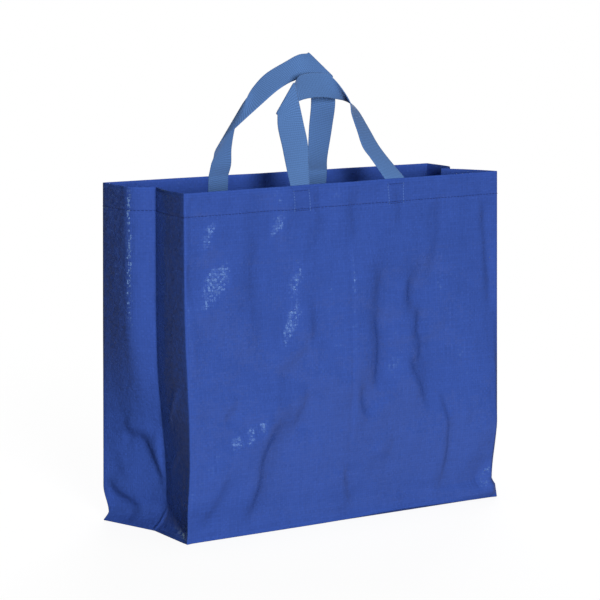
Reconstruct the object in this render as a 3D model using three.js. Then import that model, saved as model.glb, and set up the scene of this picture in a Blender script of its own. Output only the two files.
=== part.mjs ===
// A laminated shopping bag: one sheet of film-laminated woven fabric, folded into a front, a back,
// a flat base and two side gussets, open at the top, with two flat webbing handles sewn inside the hem.
// Millimetres, +Z up. The origin is on the floor under the middle of the bag, and the front faces -Y.
import * as THREE from 'three';

// Folded sheet
const BAG_WIDTH = 400;
const BAG_DEPTH = 150;
const BAG_HEIGHT = 345;
const SHEET_THICKNESS = 0.5;
const HEM_DEPTH = 28;

// How far each rim corner leans in from the base corner below it
const FRONT_LEFT_LEAN = 1.5;
const FRONT_RIGHT_LEAN = 4.5;
const BACK_RIGHT_LEAN = 29;
const BACK_LEFT_LEAN = 5;

// Centre fold of each gusset, pushed in from the line between its two corners
const LEFT_FOLD_AT_RIM = 16;
const RIGHT_FOLD_AT_RIM = 28;
const FOLD_AT_TUCK = 27;
const FOLD_AT_BASE = 12;
const TUCK_HEIGHT = 22;
const FOLD_EASE_HEIGHT = 140;

// Slack of the sheet: outward bow of the big panels and of the rear half of each gusset. The panels
// bow most in their middle, and the gusset's rear half at a third of its width from the centre fold.
const PANEL_BOW = 2;
const GUSSET_BOW = 10;
const PANEL_BOW_PEAK = 1 / 2;
const GUSSET_BOW_PEAK = 1 / 3;

// Ears at the base corners: the sheet is pinched in above each corner of the base
const EAR_PINCH = 4;
const FRONT_LEFT_EAR = 9;
const FRONT_RIGHT_EAR = 19;
const BACK_RIGHT_EAR = 14;
const BACK_LEFT_EAR = 8;
const EAR_FADE = 3.5;

// Webbing handles
const STRAP_WIDTH = 25;
const STRAP_THICKNESS = 1.2;
const HANDLE_SPACING = 121;
const HANDLE_RISE = 126;
const FOOT_LENGTH = 26;
const SEAT_GAP = 0.3;
const FRONT_HANDLE_SHIFT = 2.5;
const BACK_HANDLE_SHIFT = -4;
const FRONT_FOLD_RADIUS = 2;
const BACK_FOLD_RADIUS = 1.2;

// Facet counts
const PANEL_STEPS = 16;
const GUSSET_STEPS = 8;
const BASE_LEVELS = [0, 4, 9, 14, 22, 32, 46, 66];
const WALL_STEPS = 7;
const FOOT_STEPS = 3;
const STATION_STEPS = 4;
const FOLD_STEPS = 6;

const CORNERS = {
  frontLeft: { side: -1, face: -1, lean: FRONT_LEFT_LEAN, ear: FRONT_LEFT_EAR },
  frontRight: { side: 1, face: -1, lean: FRONT_RIGHT_LEAN, ear: FRONT_RIGHT_EAR },
  backRight: { side: 1, face: 1, lean: BACK_RIGHT_LEAN, ear: BACK_RIGHT_EAR },
  backLeft: { side: -1, face: 1, lean: BACK_LEFT_LEAN, ear: BACK_LEFT_EAR },
};

// Each handle is a list of rulings from its left foot to its right foot. At a ruling, `at` is the
// strap's centre: across as a share of half the spacing, lean from the panel (0) to the bag's middle
// plane (1), and rise as a share of the handle's rise. `rule` runs across the strap from its outer
// to its inner edge, in strap widths, and is longer than 1 only on a slanting fold.
const FRONT_HANDLE = {
  face: -1,
  shift: FRONT_HANDLE_SHIFT,
  foldRadius: FRONT_FOLD_RADIUS,
  beforeFold: [
    { at: [-0.93, 0.15, 0.14], rule: [0.99, -0.12, 0.08] },
    { at: [-0.83, 0.33, 0.29], rule: [0.91, -0.4, 0.08] },
    { at: [-0.75, 0.53, 0.46], rule: [0.87, -0.45, 0.18] },
    { at: [-0.68, 0.7, 0.655], rule: [1, 0.16, 1.2] },
  ],
  afterFold: [
    { at: [-0.28, 0.8, 0.73], rule: [0, 0.13, 0.99] },
    { at: [0.2, 0.85, 0.74], rule: [-0.03, 0.1, 0.99] },
    { at: [0.42, 0.85, 0.72], rule: [-0.25, -0.1, 0.96] },
    { at: [0.78, 0.83, 0.59], rule: [-0.6, -0.78, 0.1] },
    { at: [0.78, 0.72, 0.52], rule: [-0.79, -0.61, -0.06] },
    { at: [0.78, 0.53, 0.385], rule: [-0.9, -0.43, -0.09] },
    { at: [0.78, 0.34, 0.25], rule: [-0.98, -0.2, -0.02] },
    { at: [0.84, 0.22, 0.165], rule: [-0.99, -0.12, 0.04] },
  ],
};

const BACK_HANDLE = {
  face: 1,
  shift: BACK_HANDLE_SHIFT,
  foldRadius: BACK_FOLD_RADIUS,
  beforeFold: [
    { at: [-1.02, 0.03, 0.08], rule: [1, -0.06, 0.07] },
    { at: [-1.05, 0.1, 0.17], rule: [0.87, -0.22, 0.63] },
    { at: [-1.05, 0.2, 0.29], rule: [0.75, -0.53, 1.38] },
    { at: [-1.04, 0.32, 0.4], rule: [0.87, -0.76, 1.96] },
    { at: [-1, 0.44, 0.47], rule: [0.69, -0.51, 1.57] },
    { at: [-0.93, 0.59, 0.54], rule: [0.41, -0.06, 1.14] },
    { at: [-0.74, 0.67, 0.64], rule: [0.09, 0.6, 0.69] },
    { at: [-0.43, 0.74, 0.77], rule: [-0.18, 0.77, 0.56] },
    { at: [-0.09, 0.78, 0.85], rule: [0.03, 0.63, 0.75] },
    { at: [0.17, 0.83, 0.89], rule: [-0.17, 0.38, 0.93] },
    { at: [0.53, 0.84, 0.89], rule: [-1.2, 0.08, 1.02] },
  ],
  afterFold: [
    { at: [0.655, 0.74, 0.61], rule: [-0.8, 0.6, -0.02] },
    { at: [0.77, 0.5, 0.37], rule: [-0.94, 0.35, 0.02] },
    { at: [0.9, 0.22, 0.1], rule: [-0.99, 0.05, 0.09] },
  ],
};

// A closed triangle mesh put together from rings of points
class SolidBuilder {
  constructor() {
    this.points = [];
    this.triangles = [];
  }

  ring(points) {
    const start = this.points.length;
    this.points.push(...points);
    return points.map((_, index) => start + index);
  }

  bridge(lower, upper) {
    lower.forEach((corner, index) => {
      const next = (index + 1) % lower.length;
      this.triangles.push(corner, lower[next], upper[next]);
      this.triangles.push(corner, upper[next], upper[index]);
    });
  }

  // Two strap sections, with both broad faces split along the same diagonal
  bridgeSections([a, b, c, d], [e, f, g, h]) {
    this.triangles.push(a, b, f, a, f, e);
    this.triangles.push(b, c, g, b, g, f);
    this.triangles.push(c, d, g, d, h, g);
    this.triangles.push(d, a, e, d, e, h);
  }

  cap(ring, outline, faceUp) {
    THREE.ShapeUtils.triangulateShape(outline, []).forEach(([a, b, c]) => {
      this.triangles.push(ring[a], faceUp ? ring[b] : ring[c], faceUp ? ring[c] : ring[b]);
    });
  }

  geometry() {
    const geometry = new THREE.BufferGeometry().setFromPoints(this.points);
    geometry.setIndex(this.triangles);
    geometry.computeVertexNormals();
    return geometry;
  }
}

function smoothShare(value, low, high) {
  return THREE.MathUtils.smoothstep(value, low, high);
}

// A base corner, its ear pinch above it and its lean towards the rim
function cornerAt(corner, z) {
  const rising = Math.min(z / corner.ear, 1);
  const fading = 1 - smoothShare(z, corner.ear, corner.ear * EAR_FADE);
  const pinch = EAR_PINCH * rising * fading;
  const lean = corner.lean * z / BAG_HEIGHT;
  return new THREE.Vector2(
    corner.side * (BAG_WIDTH / 2 - pinch),
    corner.face * (BAG_DEPTH / 2 - lean - pinch),
  );
}

// The gusset's centre fold: shallow at the base, deepest above the tuck, easing to its rim depth
function foldAt(front, back, foldAtRim, z) {
  const opening = THREE.MathUtils.lerp(FOLD_AT_BASE, FOLD_AT_TUCK, Math.min(z / TUCK_HEIGHT, 1));
  const easing = smoothShare(z, TUCK_HEIGHT, FOLD_EASE_HEIGHT);
  const depth = THREE.MathUtils.lerp(opening, foldAtRim, easing);
  const middle = cornerAt(front, z).lerp(cornerAt(back, z), 0.5);
  middle.x -= front.side * depth;
  return middle;
}

// A wall's outward bow as a share of its most, which it has at the given share of its width
function bowShare(share, peak) {
  return Math.sin(Math.PI * share ** (Math.log(1 / 2) / Math.log(peak)));
}

// Points from one corner towards the next, bowed outwards, without the last one
function wallLine(from, to, steps, bow, peak) {
  const outward = new THREE.Vector2(to.y - from.y, from.x - to.x).normalize();
  return Array.from({ length: steps }, (_, index) => {
    const share = index / steps;
    const point = from.clone().lerp(to, share);
    return point.addScaledVector(outward, bow * bowShare(share, peak));
  });
}

function panelBowAt(z) {
  return PANEL_BOW * Math.sin(Math.PI * z / BAG_HEIGHT);
}

// The sheet's outer outline at one height, counter-clockwise from above
function wallRing(z) {
  const { frontLeft, frontRight, backRight, backLeft } = CORNERS;
  const rightFold = foldAt(frontRight, backRight, RIGHT_FOLD_AT_RIM, z);
  const leftFold = foldAt(frontLeft, backLeft, LEFT_FOLD_AT_RIM, z);
  const panelBow = panelBowAt(z);
  const gussetBow = GUSSET_BOW * smoothShare(z, 0, FOLD_EASE_HEIGHT);
  return [
    ...wallLine(cornerAt(frontLeft, z), cornerAt(frontRight, z), PANEL_STEPS, panelBow, PANEL_BOW_PEAK),
    ...wallLine(cornerAt(frontRight, z), rightFold, GUSSET_STEPS, 0, GUSSET_BOW_PEAK),
    ...wallLine(rightFold, cornerAt(backRight, z), GUSSET_STEPS, gussetBow, GUSSET_BOW_PEAK),
    ...wallLine(cornerAt(backRight, z), cornerAt(backLeft, z), PANEL_STEPS, panelBow, PANEL_BOW_PEAK),
    ...wallLine(cornerAt(backLeft, z), leftFold, GUSSET_STEPS, gussetBow, 1 - GUSSET_BOW_PEAK),
    ...wallLine(leftFold, cornerAt(frontLeft, z), GUSSET_STEPS, 0, GUSSET_BOW_PEAK),
  ];
}

// The same outline moved inwards by a wall thickness, mitred at the folds
function insetRing(outline, distance) {
  return outline.map((point, index) => {
    const before = outline[(index + outline.length - 1) % outline.length];
    const after = outline[(index + 1) % outline.length];
    const arriving = point.clone().sub(before).normalize();
    const leaving = after.clone().sub(point).normalize();
    const inward = new THREE.Vector2(-arriving.y - leaving.y, arriving.x + leaving.x).normalize();
    const mitre = -inward.x * leaving.y + inward.y * leaving.x;
    return point.clone().addScaledVector(inward, distance / mitre);
  });
}

function raise(outline, z) {
  return outline.map((point) => new THREE.Vector3(point.x, point.y, z));
}

function wallHeights() {
  const hemLine = BAG_HEIGHT - HEM_DEPTH;
  const lastBaseLevel = BASE_LEVELS.at(-1);
  const upper = Array.from(
    { length: WALL_STEPS },
    (_, index) => THREE.MathUtils.lerp(lastBaseLevel, hemLine, (index + 1) / WALL_STEPS),
  );
  return [...BASE_LEVELS, ...upper, BAG_HEIGHT];
}

function bagBodyGeometry() {
  const solid = new SolidBuilder();
  const heights = wallHeights();
  const hemLine = heights.at(-2);
  const hemThickness = 2 * SHEET_THICKNESS;
  const innerFaces = [
    { z: SHEET_THICKNESS, wall: SHEET_THICKNESS },
    ...heights.slice(1, -1).map((z) => ({ z, wall: SHEET_THICKNESS })),
    { z: hemLine, wall: hemThickness },
    { z: BAG_HEIGHT, wall: hemThickness },
  ];
  const outer = heights.map((z) => solid.ring(raise(wallRing(z), z)));
  const inner = innerFaces.map(({ z, wall }) => solid.ring(raise(insetRing(wallRing(z), wall), z)));
  outer.slice(1).forEach((ring, index) => solid.bridge(outer[index], ring));
  inner.slice(1).forEach((ring, index) => solid.bridge(ring, inner[index]));
  solid.bridge(outer.at(-1), inner.at(-1));
  solid.cap(outer[0], wallRing(0), false);
  solid.cap(inner[0], insetRing(wallRing(SHEET_THICKNESS), SHEET_THICKNESS), true);
  return solid.geometry();
}

// The middle of the strap where it lies on the inside of the hem
function seatAt(face, x, z) {
  const left = cornerAt(face < 0 ? CORNERS.frontLeft : CORNERS.backLeft, z);
  const right = cornerAt(face < 0 ? CORNERS.frontRight : CORNERS.backRight, z);
  const share = (x - left.x) / (right.x - left.x);
  const bow = panelBowAt(z) * bowShare(share, PANEL_BOW_PEAK);
  const panel = THREE.MathUtils.lerp(left.y, right.y, share) + face * bow;
  const standOff = 2 * SHEET_THICKNESS + SEAT_GAP + STRAP_THICKNESS / 2;
  return new THREE.Vector3(x, panel - face * standOff, z);
}

// The strap's straight foot on the hem, from its sewn end up to the rim; side -1 is the left foot
function footRulings(handle, side) {
  const middle = handle.shift + side * HANDLE_SPACING / 2;
  const outerX = middle + side * STRAP_WIDTH / 2;
  const innerX = middle - side * STRAP_WIDTH / 2;
  return Array.from({ length: FOOT_STEPS + 1 }, (_, index) => {
    const z = BAG_HEIGHT - FOOT_LENGTH * (1 - index / FOOT_STEPS);
    return { outer: seatAt(handle.face, outerX, z), inner: seatAt(handle.face, innerX, z) };
  });
}

function stationRuling(handle, station) {
  const [across, lean, rise] = station.at;
  const reach = seatAt(handle.face, handle.shift, BAG_HEIGHT).y;
  const centre = new THREE.Vector3(
    handle.shift + across * HANDLE_SPACING / 2,
    reach * (1 - lean),
    BAG_HEIGHT + rise * HANDLE_RISE,
  );
  const half = new THREE.Vector3(...station.rule).multiplyScalar(STRAP_WIDTH / 2);
  return { outer: centre.clone().sub(half), inner: centre.clone().add(half) };
}

function centreOf(ruling) {
  return ruling.outer.clone().lerp(ruling.inner, 0.5);
}

// Rulings along smooth edge curves through the given ones
function smoothRulings(rulings) {
  const outer = new THREE.CatmullRomCurve3(rulings.map((ruling) => ruling.outer), false, 'centripetal');
  const inner = new THREE.CatmullRomCurve3(rulings.map((ruling) => ruling.inner), false, 'centripetal');
  const count = (rulings.length - 1) * STATION_STEPS;
  return Array.from({ length: count + 1 }, (_, index) => ({
    outer: outer.getPoint(index / count),
    inner: inner.getPoint(index / count),
  }));
}

// The strap turned over its slanting fold line, towards +Y
function foldedRulings(arriving, fold, radius) {
  const line = fold.inner.clone().sub(fold.outer).normalize();
  const ahead = centreOf(fold).sub(centreOf(arriving));
  const outward = ahead.addScaledVector(line, -ahead.dot(line)).normalize();
  const behind = new THREE.Vector3().crossVectors(line, outward);
  behind.multiplyScalar(Math.sign(behind.y));
  return Array.from({ length: FOLD_STEPS }, (_, index) => {
    const angle = Math.PI * (index + 1) / FOLD_STEPS;
    const shift = outward.clone().multiplyScalar(radius * Math.sin(angle));
    shift.addScaledVector(behind, radius * (1 - Math.cos(angle)));
    return { outer: fold.outer.clone().add(shift), inner: fold.inner.clone().add(shift) };
  });
}

function handleRulings(handle) {
  const leftFoot = footRulings(handle, -1);
  const rightFoot = footRulings(handle, 1).reverse();
  const before = handle.beforeFold.map((station) => stationRuling(handle, station));
  const after = handle.afterFold.map((station) => stationRuling(handle, station));
  const fold = foldedRulings(before.at(-2), before.at(-1), handle.foldRadius);
  const rising = smoothRulings([leftFoot.at(-1), ...before]);
  const falling = smoothRulings([fold.at(-1), ...after, rightFoot[0]]);
  return [
    ...leftFoot.slice(0, -1),
    ...rising,
    ...fold.slice(0, -1),
    ...falling,
    ...rightFoot.slice(1),
  ];
}

// The strap's section at each ruling: a flat rectangle of the webbing's thickness
function handleGeometry(handle) {
  const solid = new SolidBuilder();
  const rulings = handleRulings(handle);
  const rings = rulings.map((ruling, index) => {
    const before = centreOf(rulings[Math.max(index - 1, 0)]);
    const after = centreOf(rulings[Math.min(index + 1, rulings.length - 1)]);
    const across = ruling.inner.clone().sub(ruling.outer);
    const normal = new THREE.Vector3().crossVectors(across, after.sub(before)).normalize();
    const offset = normal.multiplyScalar(STRAP_THICKNESS / 2);
    return solid.ring([
      ruling.outer.clone().add(offset),
      ruling.inner.clone().add(offset),
      ruling.inner.clone().sub(offset),
      ruling.outer.clone().sub(offset),
    ]);
  });
  rings.slice(1).forEach((ring, index) => solid.bridgeSections(rings[index], ring));
  const section = [[0, 0], [1, 0], [1, 1], [0, 1]].map(([x, y]) => new THREE.Vector2(x, y));
  solid.cap(rings[0], section, false);
  solid.cap(rings.at(-1), section, true);
  return solid.geometry();
}

function laminateMaterial() {
  return new THREE.MeshStandardMaterial({ color: 0x3855a2, roughness: 0.35, metalness: 0 });
}

function webbingMaterial() {
  return new THREE.MeshStandardMaterial({ color: 0x5578ac, roughness: 0.85, metalness: 0 });
}

function namedMesh(name, geometry, material) {
  const mesh = new THREE.Mesh(geometry, material);
  mesh.name = name;
  return mesh;
}

const bag = new THREE.Group();
bag.add(namedMesh('bag_body', bagBodyGeometry(), laminateMaterial()));
bag.add(namedMesh('front_handle', handleGeometry(FRONT_HANDLE), webbingMaterial()));
bag.add(namedMesh('back_handle', handleGeometry(BACK_HANDLE), webbingMaterial()));

export default bag;
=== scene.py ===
"""A laminated shopping bag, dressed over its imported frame.

The bag is one folded sheet of woven tape fabric under a glossy film. It stands open on a pale
floor, with its gussets folded in, and its two webbing handles have fallen against each other over
its mouth. Sizes are in millimetres up to the moment a mesh is made, which is in metres.
"""

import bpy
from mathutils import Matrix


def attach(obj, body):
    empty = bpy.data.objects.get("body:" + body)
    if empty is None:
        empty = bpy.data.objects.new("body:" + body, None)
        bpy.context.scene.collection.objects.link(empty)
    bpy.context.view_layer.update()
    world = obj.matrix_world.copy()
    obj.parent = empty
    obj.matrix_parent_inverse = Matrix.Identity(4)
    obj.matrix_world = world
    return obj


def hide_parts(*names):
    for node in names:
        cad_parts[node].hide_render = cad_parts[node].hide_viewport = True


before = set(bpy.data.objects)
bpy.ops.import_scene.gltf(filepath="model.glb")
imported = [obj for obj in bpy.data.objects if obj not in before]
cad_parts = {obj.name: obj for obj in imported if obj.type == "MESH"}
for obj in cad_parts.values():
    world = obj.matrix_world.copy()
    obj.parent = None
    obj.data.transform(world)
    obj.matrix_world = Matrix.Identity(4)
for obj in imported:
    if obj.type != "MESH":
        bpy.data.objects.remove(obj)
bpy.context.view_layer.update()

import logging
import math
from dataclasses import dataclass, field
from enum import Enum

import bpy
import numpy as np
from mathutils import Vector

log = logging.getLogger("bag")

# Metres in a millimetre
MM = 0.001
# Lengths below these count as nothing
SHORTEST = 1e-9
CLOSEST = 1e-6
# The pieces between two points of a crease's path, and the share of it that fades at either end
PATH_STEPS = 5
END_FADE = 0.3
# How far apart the shades of neighbouring tapes are read from one noise
TAPE_STRIDE = 7.31
# The cool light that the film throws back
GLINT_TINT = (0.6, 0.95, 1.0)
WHITE = (1, 1, 1, 1)

Point = tuple[float, float]
Triple = tuple[float, float, float]
SeamLine = tuple[np.ndarray, np.ndarray]
Socket = bpy.types.NodeSocket


class Wall(Enum):
    """The sheet's six walls, in their order round the bag from the front left edge."""

    FRONT = 0
    RIGHT_FRONT = 1
    RIGHT_BACK = 2
    BACK = 3
    LEFT_BACK = 4
    LEFT_FRONT = 5


PANELS = (Wall.FRONT, Wall.BACK)
FRONT_HALVES = (Wall.LEFT_FRONT, Wall.RIGHT_FRONT)
BACK_HALVES = (Wall.LEFT_BACK, Wall.RIGHT_BACK)
# The gusset halves that run from an upright edge to the centre fold; the others run from the fold
EDGE_FIRST = (Wall.RIGHT_FRONT, Wall.LEFT_BACK)


class Shows(Enum):
    """What a lamp lights: matte colour, or the film's reflections."""

    MATTE = "matte"
    GLINT = "glint"


class Face(Enum):
    """The side of the bag that a panel or a handle belongs to."""

    FRONT = -1
    BACK = 1


def smooth(value: np.ndarray | float, low: float, high: float) -> np.ndarray:
    """Ease from 0 to 1 between two values.

    Args:
        value: What is eased.
        low: Where the ease starts.
        high: Where the ease ends.

    Returns:
        The eased share, of the shape of value.
    """
    share = np.clip((value - low) / (high - low), 0, 1)
    return share * share * (3 - 2 * share)


def soft_min(first: np.ndarray, second: np.ndarray, blend: float) -> np.ndarray:
    """Take the lower of two heights, rounding the line where they meet.

    Args:
        first: One height.
        second: The other height.
        blend: The width of the rounding.

    Returns:
        The blended lower height.
    """
    share = np.clip(0.5 + 0.5 * (second - first) / blend, 0, 1)
    return second + (first - second) * share - blend * share * (1 - share)


def unit(vectors: np.ndarray) -> np.ndarray:
    """Scale vectors, kept in the last axis, to length one."""
    return vectors / np.maximum(np.linalg.norm(vectors, axis=-1, keepdims=True), SHORTEST)


def flowing(points: np.ndarray, steps: int) -> np.ndarray:
    """Run a centripetal Catmull-Rom curve through points.

    Args:
        points: The points, one a row.
        steps: The pieces between two points.

    Returns:
        The points of the curve, the given ones among them.
    """
    padded = np.vstack((2 * points[0] - points[1], points, 2 * points[-1] - points[-2]))
    shares = (np.arange(steps) / steps)[:, None]
    runs = []
    for before, start, end, after in zip(padded, padded[1:], padded[2:], padded[3:]):
        sides = (before - start, start - end, end - after)
        first, middle, last = (max(np.linalg.norm(side), CLOSEST) ** 0.5 for side in sides)
        run = (end - start) / middle
        leaving = (start - before) / first - (end - before) / (first + middle) + run
        arriving = run - (after - start) / (middle + last) + (after - end) / last
        leaving, arriving = leaving * middle, arriving * middle
        cubic = 2 * start - 2 * end + leaving + arriving
        square = -3 * start + 3 * end - 2 * leaving - arriving
        runs.append(((cubic * shares + square) * shares + leaving) * shares + start)
    return np.vstack((*runs, points[-1:]))


@dataclass(frozen=True)
class Crease:
    """A bend pressed into a wall, along a line that is drawn downwards on the wall's outside.

    Attributes:
        path: Points of the line, as millimetres along the wall and up from the base.
        step: How far the sheet comes out from the line's left side to its right side.
        width: Half the width of the bend.
        reach: How far off the line the step has eased away.
        ridge: How far the line itself stands out, or, below zero, is sunk in.
    """

    path: tuple[Point, ...]
    step: float = 0.0
    width: float = 3.0
    reach: float = 26.0
    ridge: float = 0.0

    def relief(self, along: np.ndarray, up: np.ndarray) -> np.ndarray:
        """Give the crease's relief.

        Args:
            along: Places along the wall.
            up: Heights of the same places.

        Returns:
            How far each place stands out.
        """
        line = flowing(np.array(self.path, dtype=float), PATH_STEPS)
        nearest = np.full(along.shape, np.inf)
        side = np.ones(along.shape)
        place = np.zeros(along.shape)
        for index, (start, end) in enumerate(zip(line, line[1:])):
            run = end - start
            passed = (along - start[0]) * run[0] + (up - start[1]) * run[1]
            share = np.clip(passed / (run @ run), 0, 1)
            off_along = along - start[0] - share * run[0]
            off_up = up - start[1] - share * run[1]
            distance = np.hypot(off_along, off_up)
            closer = distance < nearest
            nearest = np.where(closer, distance, nearest)
            side = np.where(closer, np.sign(run[0] * off_up - run[1] * off_along), side)
            place = np.where(closer, (index + share) / (len(line) - 1), place)
        fade = smooth(place, 0, END_FADE) * smooth(1 - place, 0, END_FADE)
        easing = np.exp(-((nearest / self.reach) ** 2))
        step = self.step * np.tanh(side * nearest / self.width) * easing
        return fade * (step + self.ridge * np.exp(-((nearest / self.width) ** 2)))


@dataclass(frozen=True)
class Dent:
    """A soft swelling of a wall, or, with a height below zero, a hollow.

    Attributes:
        centre: Its middle, as millimetres along the wall and up from the base.
        size: Its radii along and up the wall.
        height: How far its middle stands out.
    """

    centre: Point
    size: Point
    height: float

    def relief(self, along: np.ndarray, up: np.ndarray) -> np.ndarray:
        """Give the dent's relief.

        Args:
            along: Places along the wall.
            up: Heights of the same places.

        Returns:
            How far each place stands out.
        """
        level = (along - self.centre[0]) / self.size[0]
        upright = (up - self.centre[1]) / self.size[1]
        return self.height * np.exp(-level * level - upright * upright)


@dataclass(frozen=True)
class Ripples:
    """Slight waves that run mostly up and down a wall, as a packed and opened sheet keeps them.

    Attributes:
        height: The height of all waves together.
        length: The mean distance from wave to wave along the wall.
        seed: The seed of the waves' lengths, leans and places.
        spread: How much the waves lean to and fro.
        count: How many waves are added up.
        pitches: The shortest and the longest wave, as shares of the mean.
    """

    height: float
    length: float
    seed: int
    spread: float = 0.3
    count: int = 14
    pitches: Point = (0.55, 2.2)

    def relief(self, along: np.ndarray, up: np.ndarray) -> np.ndarray:
        """Give the waves' relief.

        Args:
            along: Places along the wall.
            up: Heights of the same places.

        Returns:
            How far each place stands out.
        """
        random = np.random.default_rng(self.seed)
        total = np.zeros(along.shape)
        for _ in range(self.count):
            pitch = self.length * random.uniform(*self.pitches)
            lean = random.normal(0, self.spread)
            phase = random.uniform(0, 2 * math.pi)
            total += np.sin(2 * math.pi * (along + lean * up) / pitch + phase) * pitch / self.length
        return self.height * total / self.count**0.5


Form = Crease | Dent | Ripples


@dataclass(frozen=True)
class Corner:
    """An upright edge of the bag.

    Attributes:
        side: -1 on the bag's left, 1 on its right.
        face: The panel that the edge belongs to.
        lean: How far the edge leans in from its base to its rim.
        ear: The height of the pinch above its base corner.
        waist: How far the edge is drawn in between its base corner and its middle.
        notch: The share of the pinch that comes at once, at the ear's top.
    """

    side: int
    face: Face
    lean: float
    ear: float
    waist: float = 0.0
    notch: float = 0.0


FRONT_LEFT = Corner(-1, Face.FRONT, lean=1.5, ear=9, waist=4.5)
FRONT_RIGHT = Corner(1, Face.FRONT, lean=4.5, ear=19, notch=0.5)
BACK_RIGHT = Corner(1, Face.BACK, lean=29, ear=14)
BACK_LEFT = Corner(-1, Face.BACK, lean=5, ear=8)
# The upright edge at the end of a wall, in ring order
EDGE_AFTER = {
    Wall.FRONT: FRONT_RIGHT,
    Wall.RIGHT_BACK: BACK_RIGHT,
    Wall.BACK: BACK_LEFT,
    Wall.LEFT_FRONT: FRONT_LEFT,
}


@dataclass(frozen=True)
class BagShape:
    """The folded sheet's outer surface, before its thickness is added.

    Every wall is a straight run between two edges at each height, moved outwards by its bow and by
    the relief of its creases, dents and ripples. Sizes are in millimetres, and a pair of heights is
    where an ease starts and ends.
    """

    # The bag, its turned hem and the size of the bends at its upright edges
    width: float = 400.0
    depth: float = 150.0
    height: float = 345.0
    hem_depth: float = 28.0
    hem_layers: float = 1.0
    edge_bend: float = 2.0

    # How far the gussets' centre folds lie in, the size of their bends, and the height from which
    # they lie in as at the rim
    left_fold_at_rim: float = 16.0
    right_fold_at_rim: float = 28.0
    fold_at_tuck: float = 27.0
    fold_at_base: float = 12.0
    fold_bend: float = 1.1
    ease_height: float = 180.0

    # The tuck of a gusset over the base: its height, the rounding of its facets, the share of the
    # gusset in which they start, and the bead and the wider bend of the fold below its top
    tuck_height: float = 22.0
    tuck_blend: float = 1.0
    tuck_start: float = 0.12
    tuck_bead: float = 3.0
    tuck_round: float = 1.6
    tuck_top: Point = (0.6, 1.2)
    bead_rise: float = 3.0

    # Outward bows, and the soft ridge of a gusset's back half, as shares of its width
    panel_bow: float = 2.0
    front_half_bow: float = 3.5
    front_half_start: float = 30.0
    gusset_bow: float = 16.5
    bow_fade: Point = (60.0, 225.0)
    ridge_share: float = 0.72
    ridge_share_low: float = 0.64
    ridge_shift: Point = (95.0, 165.0)
    ridge_blend: float = 0.6
    ridge_curl: float = 0.85

    # The pinch above each base corner, which has faded at a multiple of its height, and the
    # drawn-in edge
    ear_pinch: float = 4.0
    ear_fade: float = 4.5
    notch_height: float = 4.0
    waist_rise: Point = (5.0, 80.0)
    waist_fall: Point = (100.0, 240.0)

    # How the relief eases away at the edges and at the base, and how the panels roll under
    edge_start: float = 0.5
    edge_ease: float = 9.0
    base_ease: float = 7.0
    base_roll: float = 1.5
    roll_height: float = 7.0

    # The stretch of the front panel that is lifted off the floor
    base_lift: float = 2.0
    lift_at: float = 75.0
    lift_width: float = 62.0
    lift_height: float = 30.0

    # The sunk lines of the hem's seam and of the level fold from packing
    seam_height: float = 321.5
    seam_sink: float = 0.35
    seam_width: float = 1.1
    seam_ease: float = 3.0
    pack_height: float = 269.5
    pack_sink: float = 0.3
    pack_width: float = 1.8

    forms: dict[Wall, tuple[Form, ...]] = field(default_factory=dict)

    def corner_at(self, corner: Corner, z: np.ndarray) -> np.ndarray:
        """Give an upright edge's place at heights.

        Args:
            corner: The edge.
            z: The heights.

        Returns:
            A plan point for each height.
        """
        fading = 1 - smooth(z, corner.ear, corner.ear * self.ear_fade)
        sloped = (1 - corner.notch) * np.minimum(z / corner.ear, 1)
        stepped = corner.notch * smooth(z, corner.ear - self.notch_height, corner.ear)
        pinch = self.ear_pinch * (sloped + stepped) * fading
        waist = corner.waist * smooth(z, *self.waist_rise) * (1 - smooth(z, *self.waist_fall))
        across = corner.side * (self.width / 2 - pinch - waist)
        deep = corner.face.value * (self.depth / 2 - corner.lean * z / self.height - pinch)
        return np.stack((across, deep), axis=-1)

    def fold_depth(self, side: int, z: np.ndarray) -> np.ndarray:
        """Give the depth of a gusset's centre fold above the base tuck.

        Args:
            side: -1 for the left gusset, 1 for the right one.
            z: The heights.

        Returns:
            How far the fold lies in from the gusset's edges.
        """
        at_rim = self.left_fold_at_rim if side < 0 else self.right_fold_at_rim
        easing = smooth(z, self.tuck_height, self.ease_height)
        return self.fold_at_tuck + (at_rim - self.fold_at_tuck) * easing

    def below_tuck(self, z: np.ndarray) -> np.ndarray:
        """Give 1 at heights well below a tuck's top and 0 above it."""
        low, high = self.tuck_top
        return 1 - smooth(z, self.tuck_height * low, self.tuck_height * high)

    def tuck_depth(self, share: np.ndarray, wall: Wall, z: np.ndarray) -> np.ndarray:
        """Give how far a gusset lies in at a share of the way from an edge to its fold.

        Args:
            share: The share, 0 at the edge and 1 at the fold.
            wall: The gusset's half.
            z: The heights.

        Returns:
            The depth, which near the base is a flat facet's on a front half and eases on a back
            half.
        """
        slant = share * self.fold_depth(self.ends(wall)[0].side, z)
        rise = (self.fold_at_tuck - self.fold_at_base) / self.tuck_height
        if wall in BACK_HALVES:
            return slant - share * rise * np.maximum(self.tuck_height - z, 0)
        facet = self.fold_at_base * share + rise * z
        cut = slant - soft_min(slant, facet, self.tuck_blend)
        return slant - cut * smooth(share, 0, self.tuck_start)

    def ends(self, wall: Wall) -> tuple[Corner, Corner]:
        """Give the upright edges of a panel or of a half's gusset.

        Args:
            wall: The panel or the gusset's half.

        Returns:
            The two edges, in ring order.
        """
        if wall is Wall.FRONT:
            return FRONT_LEFT, FRONT_RIGHT
        if wall is Wall.BACK:
            return BACK_RIGHT, BACK_LEFT
        if wall in (Wall.RIGHT_FRONT, Wall.RIGHT_BACK):
            return FRONT_RIGHT, BACK_RIGHT
        return BACK_LEFT, FRONT_LEFT

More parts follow.
